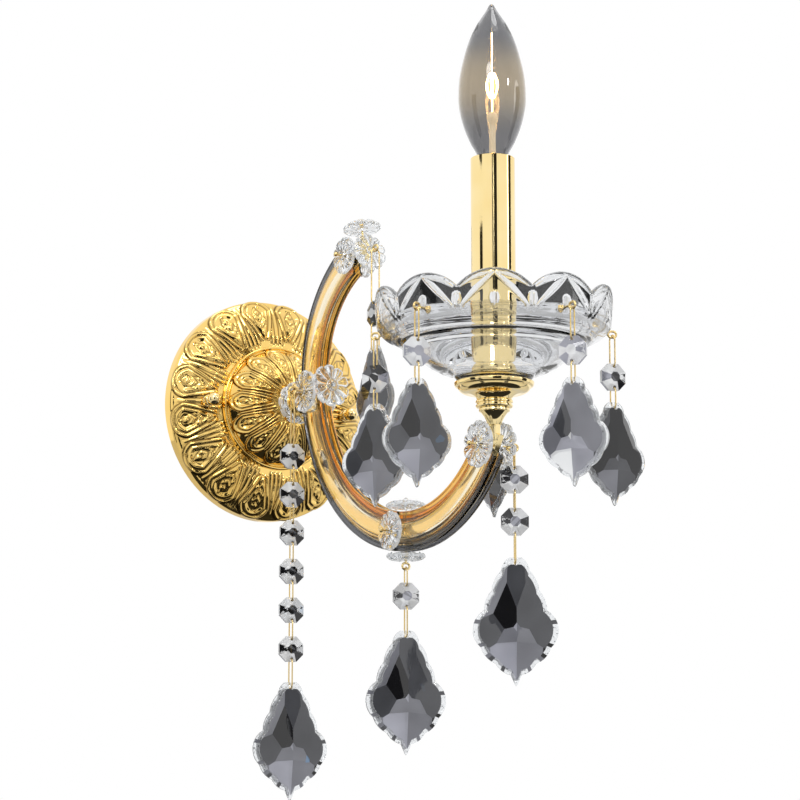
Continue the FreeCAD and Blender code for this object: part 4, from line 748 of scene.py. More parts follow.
ROSETTE_BACK = 5.25  # from the arm's middle plane
SMALL_ROSETTE = 21.0
LARGE_ROSETTE = 24.0
BOSS_BORE = 7.25

# pairs at the cross pins: arc and diameter
PAIRS = {"top": (TOP_ARC, SMALL_ROSETTE), "middle": (LOW_ARC, LARGE_ROSETTE),
         "bottom": (LOW_ARC, SMALL_ROSETTE), "end": (RISE_ARC, LARGE_ROSETTE)}


def flower(diameter, petals, bore=1.0):
    """A moulded glass flower on Z: its back at z = 0 and its face toward +Z."""
    radius = diameter / 2
    hub = max(radius * 0.3, bore + 0.8)
    back = trace((bore, 0.0), (2, (hub, 0.0)), (7, (radius * 0.7, 0.75), (radius, 1.6)))
    front = trace((radius, 1.7), (4, (radius + 0.02, 2.4), (radius - 0.5, 3.0)),
                  (14, (radius * 0.66, 4.4), (hub, 3.8)), (5, (hub * 0.7, 4.5), (bore, 4.2)),
                  (bore, 4.2))
    bm = spun(back + front, petals * 16)
    pitch = 2 * math.pi / petals

    def on_flower(place):
        """Shares of the way from the hub to the rim and from a petal's middle to its side."""
        turn = math.atan2(place.y, place.x) / pitch
        return ((math.hypot(place.x, place.y) / MM - hub) / (radius - hub),
                abs(turn - round(turn)) * 2)

    for vert in bm.verts:
        outward, local = on_flower(vert.co)
        if outward <= 0:
            continue
        # notches between the petals' ends
        shrink = 1 - 0.16 * outward ** 2 * local ** 4
        vert.co.x *= shrink
        vert.co.y *= shrink
        if vert.co.z > 1.65 * MM:  # on the face: grooves between petals, and a vein in each
            vein = gauss(local, 0.16) * gauss(outward - 0.42, 0.3)
            vert.co.z -= (1.5 * local ** 4 + 0.5 * vein) * outward ** 0.5 * MM
    for face in bm.faces:
        outward, local = on_flower(face.calc_center_median())
        if outward > 0.88 - 0.2 * local ** 4 or (outward > 0.15 and local > 0.86):
            face.material_index = 1
    return bm


def pin_and_ball(length):
    """A thin wire on Z from z = 0, with a ball head on its end."""
    return spun(trace((0.0, 0.0), (0.55, 0.0), (0.55, length - 1.1), (0.9, length - 1.0),
                      (6, (1.3, length), (0.9, length + 1.0)), (0.4, length + 1.25),
                      (0.0, length + 1.3)), 20)


# flowers on the arm's edges: foot of the pin, its way, and the flower's distance
INNER_SEATS = {"middle": (at(64.6, 3.7), Vector((0, -0.9938, 0.111)), 7.6),
               "bottom": (at(149.0, -78.4), Vector((0, 0, 1)), 5.4)}
EDGE_SEATS = {"top_edge": (at(107.14, 82.10), Vector((0, 0.1994, 0.9799)), 4.4),
              "top_front": (at(110.62, 72.84), Vector((0, -0.9848, 0.1736)), 1.0),
              "bottom": (at(149.0, -91.1), Vector((0, 0, -1)), 4.4)}


def turned(bm, seat, way):
    """Turn a shape on Z to face a way and move it to its seat."""
    turn = way.to_track_quat("Z", "X").to_matrix().to_4x4()
    return placed(bm, Matrix.Translation(seat) @ turn)


class SCONCE_OT_rosettes(Operator):
    """Moulded glass flowers at the arm's pins, edges and boss"""
    bl_idname = "sconce.rosettes"
    bl_label = "Glass rosettes"

    def execute(self, context):
        petals = context.scene.sconce_sizes.petals
        shapes = {}
        for name, ((reach, height, radius, *_), diameter) in PAIRS.items():
            turn = math.radians(PIN_ANGLES[name])
            place = at(reach + radius * math.cos(turn), height + radius * math.sin(turn))
            parts = [placed(flower(diameter, petals),
                            Matrix.Translation(place + at(0.0, 0.0, side * ROSETTE_BACK))
                            @ Matrix.Rotation(side * math.pi / 2, 4, "Y"))
                     for side in (-1, 1)]
            if name in INNER_SEATS:
                seat, way, lift = INNER_SEATS[name]
                parts.append(turned(flower(diameter, petals), seat + way * lift * MM, way))
                parts.append(turned(pin_and_ball(lift + 5.0), seat, way))
            shapes[f"rosettes_{name}"] = joined(parts)
        blooms = {name: turned(flower(SMALL_ROSETTE, petals), seat + way * lift * MM, way)
                  for name, (seat, way, lift) in EDGE_SEATS.items()}
        shapes["rosettes_top_end"] = joined([blooms["top_edge"], blooms["top_front"]])
        shapes["rosette_bottom_under"] = blooms["bottom"]
        shapes["rosette_wall"] = placed(flower(LARGE_ROSETTE, petals, BOSS_BORE),
                                        Matrix.Translation(at(36.25, 0.0)) @ OUT_OF_WALL)
        for node, bm in shapes.items():
            add_piece(bm, node + "_moulded", ROOT, ["rosette", "petal_edge"], [node],
                      40.0)
        return {"FINISHED"}


# ---------------------------------------------------------------- cup, bowl, candle and lamp

def on_candle(bm):
    """Move a shape made round Z to the candle's axis."""
    return placed(bm, Matrix.Translation(at(CANDLE_REACH, 0.0)))


class SCONCE_OT_cup(Operator):
    """Turned cone, cup and sleeve under and round the candle"""
    bl_idname = "sconce.cup"
    bl_label = "Cup and sleeve"

    def execute(self, context):
        cone = trace((3.4, -38.8), (10, (4.9, -35.2), (7.1, -32.2)),
                     (4, (7.8, -31.9), (7.7, -31.3)), (2, (7.6, -30.45)), (7.6, -30.45),
                     (1.9, -30.45), (1.9, -38.8))
        cup = trace((5.0, -30.35), (8.3, -30.35), (5, (9.3, -29.6), (9.3, -28.9)),
                    (5, (8.7, -28.3), (9.3, -27.7)), (4, (9.3, -26.6), (8.6, -26.1)),
                    (10, (10.8, -23.6), (14.0, -22.7)), (8, (17.4, -21.6), (18.6, -19.6)),
                    (4, (19.9, -19.0), (20.0, -18.2)), (4, (20.0, -17.2), (19.3, -17.0)),
                    (4, (18.2, -17.6), (17.4, -19.45)), (17.4, -19.55), (5.0, -19.55))
        sleeve = trace((11.3, -15.4), (3, (11.3, -0.6)), (4, (11.1, 0.0), (11.3, 0.6)),
                       (6, (11.3, 98.5)), (4, (11.05, 98.9), (10.8, 98.7)), (10.8, 98.7),
                       (10.8, -15.4))
        for node, profile, steps in (("cup_cone", cone, 96), ("candle_cup", cup, 128),
                                     ("candle_sleeve", sleeve, 128)):
            add_piece(on_candle(spun(profile, steps)), node + "_turned", ROOT,
                      ["turned_gold"], [node], 40.0)
        return {"FINISHED"}


BOWL_RADIUS = 60.0
BAND_FOOT = 10.5
RIM_TOP = 28.0
SCALLOP_RISE = 8.0
LIP_HEIGHT = 0.9
# inner radii of the band, of its outer skin and of its lip
BAND_INSIDE = 50.0
SKIN_INSIDE = 58.0
LIP_INSIDE = 55.0
# wheel cuts: where the strokes start beside a scallop's middle and at which height; share of
# the half pitch, height and bow of each stroke's end; and height, half width, half height
# and reed pitch of the ovals
STROKE_START = (0.5, 26.2)
STROKES = ((0.96, 8.6, 0.0), (0.9, 19.5, 1.2))
OVAL = (13.4, 2.5, 3.7, 1.25)
CUT_TOP = 27.0
MATT_FROM = 0.42  # depth share from which a cut is matt


def bowl_rim_height(turn, scallops):
    """Height of the bowl's edge in millimetres, at a number of scallops round."""
    local = (turn - round(turn)) * 2 * math.pi / scallops
    chord = BOWL_RADIUS * math.sin(math.pi / scallops)
    arch = (chord ** 2 + SCALLOP_RISE ** 2) / (2 * SCALLOP_RISE)
    return RIM_TOP - arch + math.sqrt(
        max(0.0, arch ** 2 - (BOWL_RADIUS * math.sin(local)) ** 2))


def bowl_cuts(turn, height, scallops):
    """Depth share of the wheel cuts on the outer band: four leaf-shaped strokes from the top
    of each scallop, and reeded ovals under its top and between two scallops."""
    local = (turn - round(turn)) * 2 * math.pi * BOWL_RADIUS / scallops
    half = math.pi * BOWL_RADIUS / scallops
    deep = 0.0
    for width_share, end_height, bow in STROKES:
        for side in (-1, 1):
            start = (side * STROKE_START[0], STROKE_START[1])
            run_x = side * (half * width_share) - start[0]
            run_z = end_height - start[1]
            length = math.hypot(run_x, run_z)
            share = ((local - start[0]) * run_x + (height - start[1]) * run_z) / length ** 2
            if not 0.0 < share < 1.0:
                continue
            off = ((local - start[0]) * run_z - (height - start[1]) * run_x) / length
            off += side * bow * math.sin(math.pi * share)
            width = 0.25 + 0.62 * math.sin(math.pi * share ** 0.8)
            deep = max(deep, gauss(off, width))
    level, half_width, half_height, reed_pitch = OVAL
    for middle in (0.0, half, -half):
        oval = math.hypot((local - middle) / half_width, (height - level) / half_height)
        if oval < 1:
            reed = 0.55 + 0.45 * math.cos(2 * math.pi * (local - middle) / reed_pitch)
            deep = max(deep, reed * smooth((1 - oval) * 4))
    return deep


class SCONCE_OT_bowl(Operator):
    """Scalloped glass bowl with wheel-cut lines and reeded ovals"""
    bl_idname = "sconce.bowl"
    bl_label = "Glass bowl"

    def execute(self, context):
        sizes = context.scene.sconce_sizes
        scallops = sizes.scallops
        outside = trace((5.0, -19.5), (3, (17.0, -19.5)), (4, (18.3, -18.2), (18.4, -16.6)),
                        (8, (21.6, -13.2), (27.0, -11.6)), (14, (34.6, -7.4), (41.0, -1.5)),
                        (5, (44.4, -0.6), (46.4, 1.4)), (3, (46.6, 2.4), (47.4, 3.1)),
                        (5, (50.2, 3.6), (52.0, 4.7)), (7, (56.4, 7.0), (59.1, BAND_FOOT)),
                        (42, (BOWL_RADIUS, 27.6)), (BOWL_RADIUS, 27.6))
        lip = trace((BOWL_RADIUS, 27.7), (5, (58.5, 28.4), (57.0, 27.7)), (57.0, 27.7))
        inside = trace((57.0, 27.0), (8, (56.1, 11.5)), (5, (53.0, 9.0), (50.6, 7.9)),
                       (4, (39.0, 1.7)), (5, (25.6, -8.3)), (4, (17.0, -15.5)),
                       (17.0, -15.5), (5.0, -15.5))
        bm = spun(outside + lip + inside, scallops * 72)
        for vert in bm.verts:
            self.shape(vert, scallops, sizes.cut_depth)
        for face in bm.faces:
            self.sort(face, scallops)
        bmesh.ops.recalc_face_normals(bm, faces=bm.faces[:])
        add_piece(on_candle(bm), "bowl_cut", ROOT, ["bowl", "cut", "edge"], ["bowl"],
                  50.0)
        return {"FINISHED"}

    @staticmethod
    def where(place, scallops):
        """Radius, height, and number of scallops round, of a place on the bowl."""
        return (math.hypot(place.x, place.y) / MM, place.z / MM,
                math.atan2(place.x, -place.y) * scallops / (2 * math.pi))

    def shape(self, vert, scallops, depth):
        """Bend the band's edge into scallops and sink the cuts."""
        span, height, turn = self.where(vert.co, scallops)
        if height > BAND_FOOT and span > BAND_INSIDE:
            share = (height - BAND_FOOT) / (RIM_TOP - BAND_FOOT)
            height = BAND_FOOT + share * (bowl_rim_height(turn, scallops) - BAND_FOOT)
            vert.co.z = height * MM
        if span > SKIN_INSIDE and height < CUT_TOP:
            sink = depth * bowl_cuts(turn, height, scallops)
            vert.co.x -= sink * vert.co.x / (span * MM)
            vert.co.y -= sink * vert.co.y / (span * MM)

    def sort(self, face, scallops):
        """Cuts are matt and the lip is clear, with the rim's painted dark ticks."""
        span, height, turn = self.where(face.calc_center_median(), scallops)
        if height > bowl_rim_height(turn, scallops) - LIP_HEIGHT and span > LIP_INSIDE:
            face.material_index = 2
        elif span > SKIN_INSIDE and bowl_cuts(turn, height, scallops) > MATT_FROM:
            face.material_index = 1


# the lamp's outline in radius and height, from its base to its tip
LAMP = ((5.75, 79.4), (5.9, 88.0), (6.4, 95.0), (7.3, 98.9), (8.6, 102.5), (11.5, 107.9),
        (14.5, 115.4), (16.5, 123.2), (17.35, 130.7), (16.7, 142.2), (14.2, 153.8),
        (11.4, 162.5), (7.8, 170.2), (4.4, 175.6), (2.3, 178.9), (1.2, 181.0), (0.0, 181.85))
LAMP_WALL = 0.6
HOT_WIRES = 6
HOT_FOOT = 131.5
HOT_LENGTH = 13.0
# wires above and below the hot ones: radius, length, rings and height of the foot
LEAD_WIRES = ((0.3, 22.0, 3, 144.5), (0.4, 9.0, 3, 124.0))


class SCONCE_OT_lamp(Operator):
    """Candle lamp: blown glass, glowing filament on its stem"""
    bl_idname = "sconce.lamp"
    bl_label = "Candle lamp"

    def execute(self, context):
        inside = [(max(0.0, radius - LAMP_WALL), height - (0.0 if height < 170 else 0.9))
                  for radius, height in reversed(LAMP[:-1])]
        profile = smooth_line(LAMP, 5) + [(0.0, 179.6)] + smooth_line(inside[1:], 4)
        add_piece(on_candle(spun(profile, 96)), "lamp_glass_blown", "lamp", ["lamp"],
                  ["lamp_glass"], 60.0)
        stem = trace((3.9, 77.4), (6, (3.6, 84.0), (2.6, 88.0)),
                     (8, (1.7, 104.0), (1.7, 118.0)), (8, (2.9, 121.0), (1.0, 124.0)),
                     (0.0, 124.4), (0.0, 77.4))
        add_piece(joined([on_candle(spun(stem, 32)), self.filament()]),
                  "lamp_stem_and_filament", "lamp", ["stem", "filament"], ["lamp_mount"],
                  60.0)
        return {"FINISHED"}

    def filament(self):
        """Upright hot wires round the stem's top, bowed out at their middles, with one wire
        above them and one below."""
        wires = []
        for index in range(HOT_WIRES):
            turn = 2 * math.pi * index / HOT_WIRES
            wire = spun_rod(0.45, HOT_LENGTH, 8, 0.0)
            for vert in wire.verts:
                share = vert.co.z / (HOT_LENGTH * MM)
                out = (1.2 + 2.0 * math.sin(math.pi * share)) * MM
                vert.co.x += out * math.cos(turn)
                vert.co.y += out * math.sin(turn)
                vert.co.z += HOT_FOOT * MM
            wires.append(wire)
        wires += [spun_rod(*wire) for wire in LEAD_WIRES]
        whole = on_candle(joined(wires))
        for face in whole.faces:
            face.material_index = 1
        return whole


def spun_rod(radius, length, rings, foot):
    """A thin upright rod with rings along it, from its foot's height."""
    rod = spun(trace((0.0, 0.0), (radius, 0.0), (rings, (radius, length)), (radius, length),
                     (0.0, length)), 8)
    return placed(rod, Matrix.Translation(at(0.0, foot)))


def smooth_line(places, count):
    """A smooth curve through places, with count steps between two of them."""
    line = []
    last = len(places) - 1
    for index in range(last):
        before = places[max(0, index - 1)]
        here = places[index]
        there = places[index + 1]
        after = places[min(last, index + 2)]
        for step in range(count):
            t = step / count
            line.append(tuple(
                0.5 * (2 * b + (c - a) * t + (2 * a - 5 * b + 4 * c - d) * t ** 2
                       + (3 * b - a - 3 * c + d) * t ** 3)
                for a, b, c, d in zip(before, here, there, after)))
    line.append(places[last])
    return line


# ---------------------------------------------------------------- hanging crystals

# half outline of a pendalogue: shares of the half width and of the length, and the bulge of
# the scallop that ends there as a share of the half width
OUTLINE = ((0.155, 0.0, 0.0), (0.35, 0.10, 0.045), (0.58, 0.255, 0.05), (0.77, 0.41, 0.05),
           (0.86, 0.70, 0.235), (0.50, 0.825, 0.06), (0.13, 0.915, 0.05))
WIDTH_SHARE = 0.64
HOLE_DEPTH = 3.0
HOLE_RADIUS = 1.1

# corners of each front facet: shares of the half width and the length, and the depth on a
# long drop; and its painted tones on the right and on the left, from 1 painted shadow to 5
# painted bright reflection
KNEE = (0.25, 0.40, 4.7)
CROWN = (0.0, 0.57, 5.5)
HIP = (0.27, 0.72, 4.5)
FACETS = ((((0.0, -0.04, 2.5), KNEE, CROWN), (4, 2)),
          (((0.34, -0.03, 1.9), (0.88, 0.37, 1.9), KNEE), (2, 3)),
          ((KNEE, (1.12, 0.54, 1.7), CROWN), (3, 3)),
          ((CROWN, (1.10, 0.60, 1.8), HIP), (2, 2)),
          ((HIP, (1.02, 0.70, 1.9), (0.62, 0.86, 1.8)), (1, 3)),
          ((CROWN, HIP, (0.0, 0.91, 2.3)), (4, 3)),
          ((HIP, (0.56, 0.86, 1.8), (0.10, 0.99, 1.6)), (3, 2)),
          (((0.0, 0.53, 4.95), (0.30, 0.57, 4.75), (0.0, 0.66, 4.85)), (3, 4)),
          (((0.23, 0.33, 4.0), (0.42, 0.42, 3.85), (0.23, 0.46, 4.35)), (2, 1)),
          (((0.24, 0.66, 4.25), (0.42, 0.72, 3.75), (0.22, 0.79, 3.85)), (3, 3)))
CRYSTAL_PAINTED_TONES = ["edge", "shadow", "deep", "middle", "pale", "bright"]

# drops painted lighter or darker as if more or less lit, strings with beads painted
# bright, and the painted tones of the facets round a bead
PAINTED_TONE_LIFT = {"front": 1, "front_right": -1, "back_right": -1}
PAINTED_BRIGHT_BEADS = ("front", "front_left")
BEAD_TONES = (5, 1, 5, 4, 5, 2, 5, 1, 5, 3, 1)


def pendalogue_outline(length):
    """Places round a pendalogue's outline in the XZ plane, in millimetres."""
    half = length * WIDTH_SHARE / 2
    side = []
    start = None
    for share, down, bulge in OUTLINE:
        place = (share * half, HOLE_DEPTH - down * length)
        if start:
            dx = place[0] - start[0]
            dz = place[1] - start[1]
            run_length = math.hypot(dx, dz)
            via = ((start[0] + place[0]) / 2 - dz / run_length * bulge * half,
                   (start[1] + place[1]) / 2 + dx / run_length * bulge * half)
            side += arc(start, via, place, 10 if bulge > 0.1 else 5)
        start = place
    side += [start, (0.7, HOLE_DEPTH - length * 0.985)]
    tip = (0.0, HOLE_DEPTH - length)
    return side + [tip] + [(-x, z) for x, z in reversed(side)]


def facet_planes(length):
    """Planes of the front facets, each as a place, an outward normal and a painted tone;
    places are in millimetres."""
    half = length * WIDTH_SHARE / 2
    planes = []
    for corners, tones in FACETS:
        for side, tone in zip((1, -1), tones):
            a, b, c = [Vector((side * share * half, -depth * length / LONG_LENGTH,
                               HOLE_DEPTH - down * length)) for share, down, depth in corners]
            normal = (b - a).cross(c - a).normalized()
            if normal.y > 0:
                normal.negate()
            planes.append((a, normal, tone))
    return planes


def cut_face(bm, place, normal):
    """Grind one flat facet on a closed shape."""
    cut = bmesh.ops.bisect_plane(bm, geom=bm.verts[:] + bm.edges[:] + bm.faces[:],
                                 dist=1e-8, plane_co=place * MM, plane_no=normal,
                                 clear_outer=True)
    edges = [g for g in cut["geom_cut"] if isinstance(g, bmesh.types.BMEdge)]
    if edges:
        bmesh.ops.holes_fill(bm, edges=edges, sides=0)


def pendalogue(length):
    """A cut pendalogue hanging from its hole at the origin, its face toward -Y."""
    bm = bmesh.new()
    outline = pendalogue_outline(length)
    ring = bm.faces.new([bm.verts.new((x * MM, 0, z * MM)) for x, z in outline])
    middle = (HOLE_DEPTH - 0.55 * length) * MM
    # the thin edge, the slope of the rim, and a block that the facets are cut from
    for depth, inset in ((0.7, 1.0), (1.35, 0.86), (7.0, 1.0)):
        grown = bmesh.ops.extrude_face_region(bm, geom=[ring])
        bmesh.ops.delete(bm, geom=[ring], context="FACES_ONLY")
        ring = next(g for g in grown["geom"] if isinstance(g, bmesh.types.BMFace))
        for vert in ring.verts:
            vert.co.x *= inset
            vert.co.z = middle + (vert.co.z - middle) * (1 + (inset - 1) * 0.75)
            vert.co.y = -depth * MM
    bmesh.ops.recalc_face_normals(bm, faces=bm.faces[:])
    planes = facet_planes(length)
    for place, normal, _ in planes:
        cut_face(bm, place, normal)
    base = [face for face in bm.faces if all(abs(v.co.y) < 1e-9 for v in face.verts)]
    bmesh.ops.delete(bm, geom=base, context="FACES_ONLY")
    bmesh.ops.mirror(bm, geom=bm.verts[:] + bm.edges[:] + bm.faces[:],
                     matrix=Matrix.Identity(4), merge_dist=MERGE, axis="Y")
    bmesh.ops.remove_doubles(bm, verts=bm.verts[:], dist=MERGE)
    bmesh.ops.recalc_face_normals(bm, faces=bm.faces[:])
    # each facet takes the painted tone of its plane
    for face in bm.faces:
        facing = Vector((face.normal.x, -abs(face.normal.y), face.normal.z))
        for _, normal, tone in planes:
            if facing.dot(normal) > 0.9995:
                face.material_index = tone
    return drilled(bm)


def drilled(bm):
    """Drill the hanging hole through a pendalogue along Y."""
    tool = bmesh.new()
    bmesh.ops.create_cone(tool, cap_ends=True, segments=20, radius1=HOLE_RADIUS * MM,
                          radius2=HOLE_RADIUS * MM, depth=40 * MM)
    bmesh.ops.rotate(tool, cent=(0, 0, 0), matrix=Matrix.Rotation(math.pi / 2, 3, "X"),
                     verts=tool.verts[:])
    piece, drill = [bpy.data.objects.new(name, mesh_of(shape, name))
                    for name, shape in (("undrilled", bm), ("drill", tool))]
    for thing in (piece, drill):
        bpy.context.scene.collection.objects.link(thing)
    cut = piece.modifiers.new("hole", "BOOLEAN")
    cut.operation = "DIFFERENCE"
    cut.solver = "EXACT"
    cut.object = drill
    bpy.context.view_layer.update()
    done = bmesh.new()
    done.from_object(piece, bpy.context.evaluated_depsgraph_get())
    for thing in (piece, drill):
        mesh = thing.data
        bpy.data.objects.remove(thing)
        bpy.data.meshes.remove(mesh)
    return done


class SCONCE_OT_crystals(Operator):
    """Cut pendalogues, and the crystal finish of the beads"""
    bl_idname = "sconce.crystals"
    bl_label = "Hanging crystals"

    def execute(self, context):
        joints = {joint["name"]: joint for joint in frame["record"]["behaviour"]["joints"]}
        shapes = {length: mesh_of(pendalogue(length), f"pendalogue_{int(length)}")
                  for length in (SHORT_LENGTH, LONG_LENGTH)}
        for name, facing in DROPS.items():
            length = LONG_LENGTH if name in LONG_DROPS else SHORT_LENGTH
            hole = Vector(joints[name + "_crystal_swing"]["pos_m"])
            bm = bmesh.new()
            bm.from_mesh(shapes[length])
            # the drop's painted tones are lifted or lowered, as if it were more or less lit
            lift = PAINTED_TONE_LIFT.get(name, 0)
            for face in bm.faces:
                if face.material_index:
                    face.material_index = min(5, max(1, face.material_index + lift))
            placed(bm, Matrix.Translation(hole)
                   @ Matrix.Rotation(math.radians(facing), 4, "Z"))
            add_piece(bm, name + "_pendalogue_cut", name + "_crystal", CRYSTAL_PAINTED_TONES,
                      [name + "_pendalogue"], 5.0)
            self.beads(name)
        for mesh in shapes.values():
            bpy.data.meshes.remove(mesh)
        return {"FINISHED"}

    @staticmethod
    def beads(name):
        """Give the octagon beads of a string a painted reflection tone for each facet."""
        node = frame["nodes"][name + "_beads"]
        bm = bmesh.new()
        bm.from_mesh(node.data)
        placed(bm, node.matrix_world)
        bmesh.ops.remove_doubles(bm, verts=bm.verts[:], dist=MERGE)
        bm.normal_update()
        for face in bm.faces:
            # the way a facet faces picks its painted reflection tone, so the beads of a string
            # are alike
            code = int(face.normal.x * 3.7 + 50) * 7 + int(face.normal.z * 3.7 + 50) * 5
            tone = BEAD_TONES[code % len(BEAD_TONES)]
            face.material_index = max(4, tone) if name in PAINTED_BRIGHT_BEADS else tone
        add_piece(bm, name + "_beads_cut", name, CRYSTAL_PAINTED_TONES, [name + "_beads"],
                  5.0)


class SCONCE_OT_carried_over(Operator):
    """Finishes of the CAD nodes, also of those that keep their own shape"""
    bl_idname = "sconce.carried_over"
    bl_label = "Wires, strip and hidden parts"

    def execute(self, context):
        # beads and drops take the painted greys of cut crystal
        by_slot = {"wall_steel": "steel", "plate_gold": "plate_gold", "arm_gold": "strip_gold",
                   "pin_gold": "wire_gold", "bead_crystal": "bright", "drop_crystal": "middle",
                   "cover_glass": "rib", "rosette_glass": "rosette", "bowl_glass": "bowl",
                   "socket_plastic": "plastic", "contact_brass": "brass",
                   "lamp_clear": "lamp", "lamp_filament": "stem"}
        slots = {part["node"]: part["material_slot"] for part in frame["record"]["subparts"]}
        for name, node in frame["nodes"].items():
            for place in node.material_slots:
                place.material = finishes[by_slot[slots[name]]]
        return {"FINISHED"}


# ---------------------------------------------------------------- stage

# places and sizes on the stage are in metres
AIM = (0.0, -0.15, -0.02)
CAMERA_AIM = Vector((0.02264, -0.11, -0.00649))
FLOOR_LEVEL = -0.75
# lights: name, place, size and share of the key light's power
LIGHTS = (("key_light", (-1.3, -1.5, 1.2), 0.7, 1.0),
          ("fill_light", (1.5, -1.2, 0.4), 0.9, 0.5),
          ("top_light", (0.1, -0.5, 1.6), 0.6, 0.4),
          ("spark_left", (-0.9, -1.6, 0.5), 0.14, 0.2),
          ("spark_right", (0.6, -1.8, 0.8), 0.14, 0.2))
# cards: name, turn in degrees from the front, width, height and level of the middle
CARDS = (("card_by_camera", -26.5, 0.62, 1.3, 0.1), ("card_right", 58.0, 0.5, 1.1, 0.1),
         ("card_left", -98.0, 0.45, 1.1, -0.1))
CARD_DISTANCE = 1.5


def stage_piece(bm, name, finish):
    """Make a shape a piece of the stage."""
    mesh = mesh_of(bm, name)
    mesh.materials.append(finishes[finish])
    piece = bpy.data.objects.new(name, mesh)
    bpy.context.scene.collection.objects.link(piece)
    return piece


def black_card(name, centre, turn, width, height):
    """A matt black card beside the sconce, turned to face it, that only gold and glass
    show."""
    bm = bmesh.new()
    bmesh.ops.create_grid(bm, x_segments=1, y_segments=1, size=0.5)
    facing = Matrix.Rotation(turn, 4, "Z") @ Matrix.Rotation(math.pi / 2, 4, "X")
    stretch = Matrix.Diagonal((width, height, 1.0, 1.0))
    return hidden(stage_piece(placed(bm, Matrix.Translation(centre) @ facing @ stretch),
                              name, "card"))


def disc(radius, segments, y, level):
    """A flat round shape."""
    bm = bmesh.new()
    bmesh.ops.create_circle(bm, cap_ends=True, segments=segments, radius=radius)
    return placed(bm, Matrix.Translation((0, y, level)))


def hidden(card):
    """Let the camera and the lights pass a card by, so that only gold and glass show it."""
    card.visible_camera = False
    card.visible_diffuse = False
    card.visible_shadow = False
    return card


def soft_light(name, place, size, power):
    data = bpy.data.lights.new(name, "AREA")
    data.shape = "DISK"
    data.size = size
    data.energy = power
    light = bpy.data.objects.new(name, data)
    light.location = place
    way = Vector(AIM) - Vector(place)
    light.rotation_mode = "QUATERNION"
    light.rotation_quaternion = way.to_track_quat("-Z", "Y")
    bpy.context.scene.collection.objects.link(light)


class SCONCE_OT_stage(Operator):
    """Camera, soft light, white background and pale floor"""
    bl_idname = "sconce.stage"
    bl_label = "Stage"

    def execute(self, context):
        scene = context.scene
        stage = scene.sconce_stage
        scene.view_settings.view_transform = "Standard"
        self.camera(scene, stage)
        self.world(scene, stage.sky)
        finishes["card"] = plain_finish("matt_black_card", linear("080808"), 0.0, 0.9)
        finishes["floor"] = plain_finish("pale_paper_floor", linear("F4F3F1"), 0.0, 0.8)
        stage_piece(disc(4.0, 64, AIM[1], FLOOR_LEVEL), "floor", "floor")
        for name, place, size, share in LIGHTS:
            soft_light(name, place, size, stage.key_power * share)
        for name, azimuth, width, height, level in CARDS:
            turn = math.radians(azimuth)
            centre = Vector((CARD_DISTANCE * math.sin(turn),
                             AIM[1] - CARD_DISTANCE * math.cos(turn), level))
            black_card(name, centre, turn, width, height)
        black_card("card_behind_bowl", Vector((0.284, 0.169, 0.108)), math.radians(143.6),
                   0.16, 0.09).visible_glossy = False
        below = stage_piece(disc(0.85, 32, -0.25, FLOOR_LEVEL + 0.01), "black_disc_below",
                            "card")
        hidden(below).visible_transmission = False
        return {"FINISHED"}

    @staticmethod
    def camera(scene, stage):
        data = bpy.data.cameras.new("photo_camera")
        data.lens = stage.lens
        data.sensor_width = 36.0
        data.clip_start = 0.01
        data.clip_end = 50.0
        camera = bpy.data.objects.new("photo_camera", data)
        level = math.cos(stage.elevation)
        back = Vector((math.sin(stage.azimuth) * level, -math.cos(stage.azimuth) * level,
                       math.sin(stage.elevation)))
        camera.location = CAMERA_AIM + back * stage.distance
        camera.rotation_mode = "QUATERNION"
        camera.rotation_quaternion = (-back).to_track_quat("-Z", "Y")
        scene.collection.objects.link(camera)
        scene.camera = camera

    @staticmethod
    def world(scene, strength):
        """White where it is seen directly, in metal or through glass; soft light elsewhere."""
        world = bpy.data.worlds.new("white_room")
        world.use_nodes = True
        tree = world.node_tree
        tree.nodes.clear()
        path = add_node(tree, "ShaderNodeLightPath").outputs
        seen = add_node(tree, "ShaderNodeMath", settings={"operation": "MAXIMUM"},
                        links={0: path["Is Camera Ray"], 1: path["Is Glossy Ray"]})
        any_seen = add_node(tree, "ShaderNodeMath", settings={"operation": "MAXIMUM"},
                            links={0: seen.outputs[0], 1: path["Is Transmission Ray"]})
        room, white = [add_node(tree, "ShaderNodeBackground",
                                values={"Color": (1.0, 1.0, 1.0, 1.0), "Strength": light})
                       for light in (strength, 1.0)]
        mix = add_node(tree, "ShaderNodeMixShader",
                       links={0: any_seen.outputs[0], 1: room.outputs[0],
                              2: white.outputs[0]})
        add_node(tree, "ShaderNodeOutputWorld", links={"Surface": mix.outputs[0]})
        scene.world = world


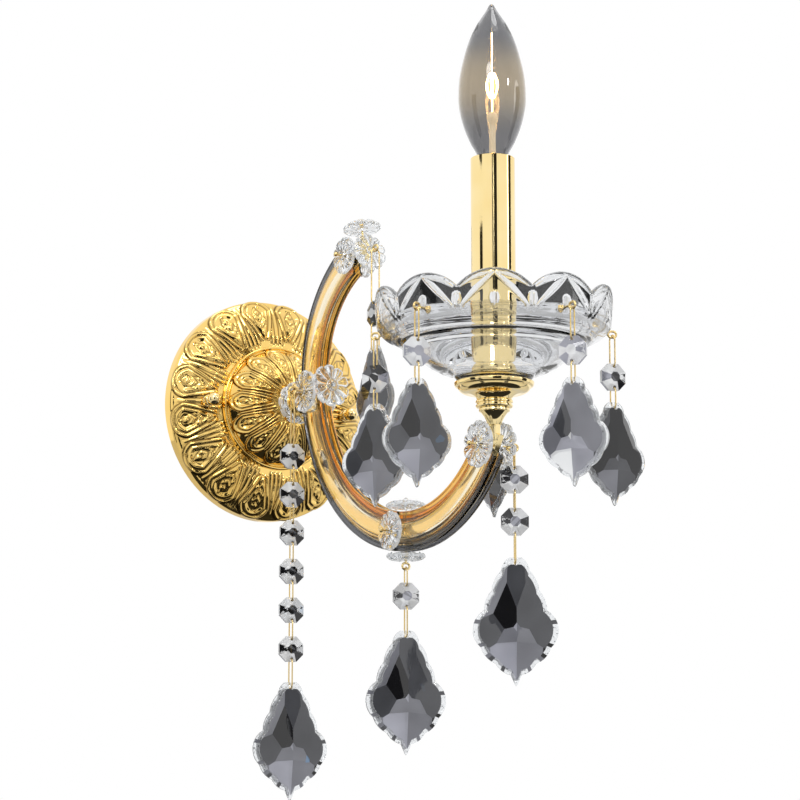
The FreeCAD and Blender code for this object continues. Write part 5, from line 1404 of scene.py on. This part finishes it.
class SCONCE_OT_finishes(Operator):
    """Materials of every piece"""
    bl_idname = "sconce.finishes"
    bl_label = "Finishes"

    def execute(self, context):
        make_finishes(context.scene.sconce_colours)
        return {"FINISHED"}


class SCONCE_PT_panel(Panel):
    """Lists the settings and the steps of the sconce"""
    bl_label = "Crystal sconce"
    bl_idname = "SCONCE_PT_panel"
    bl_space_type = "VIEW_3D"
    bl_region_type = "UI"
    bl_category = "Sconce"

    def draw(self, context):
        layout = self.layout
        for group in ("sconce_colours", "sconce_sizes", "sconce_stage"):
            settings = getattr(context.scene, group)
            column = layout.column(align=True)
            for name in settings.__annotations__:
                column.prop(settings, name)
        for step in STEPS:
            layout.operator(step.bl_idname)


STEPS = (SCONCE_OT_finishes, SCONCE_OT_stage, SCONCE_OT_plates, SCONCE_OT_ball_nuts,
         SCONCE_OT_arm, SCONCE_OT_rosettes, SCONCE_OT_cup, SCONCE_OT_bowl, SCONCE_OT_lamp,
         SCONCE_OT_crystals, SCONCE_OT_carried_over)
GROUPS = (SconceColours, SconceSizes, SconceStage)


def register():
    for part in GROUPS + STEPS + (SCONCE_PT_panel,):
        bpy.utils.register_class(part)
    bpy.types.Scene.sconce_colours = PointerProperty(type=SconceColours)
    bpy.types.Scene.sconce_sizes = PointerProperty(type=SconceSizes)
    bpy.types.Scene.sconce_stage = PointerProperty(type=SconceStage)


def unregister():
    del bpy.types.Scene.sconce_stage
    del bpy.types.Scene.sconce_sizes
    del bpy.types.Scene.sconce_colours
    for part in reversed(GROUPS + STEPS + (SCONCE_PT_panel,)):
        bpy.utils.unregister_class(part)


def main():
    """Build the sconce and its stage."""
    register()
    bpy.ops.sconce.finishes()
    bpy.ops.sconce.stage()
    bpy.ops.sconce.plates()
    bpy.ops.sconce.ball_nuts()
    bpy.ops.sconce.arm()
    bpy.ops.sconce.rosettes()
    bpy.ops.sconce.cup()
    bpy.ops.sconce.bowl()
    bpy.ops.sconce.lamp()
    bpy.ops.sconce.crystals()
    bpy.ops.sconce.carried_over()
    bpy.context.view_layer.update()


if __name__ == "__main__":
    main()
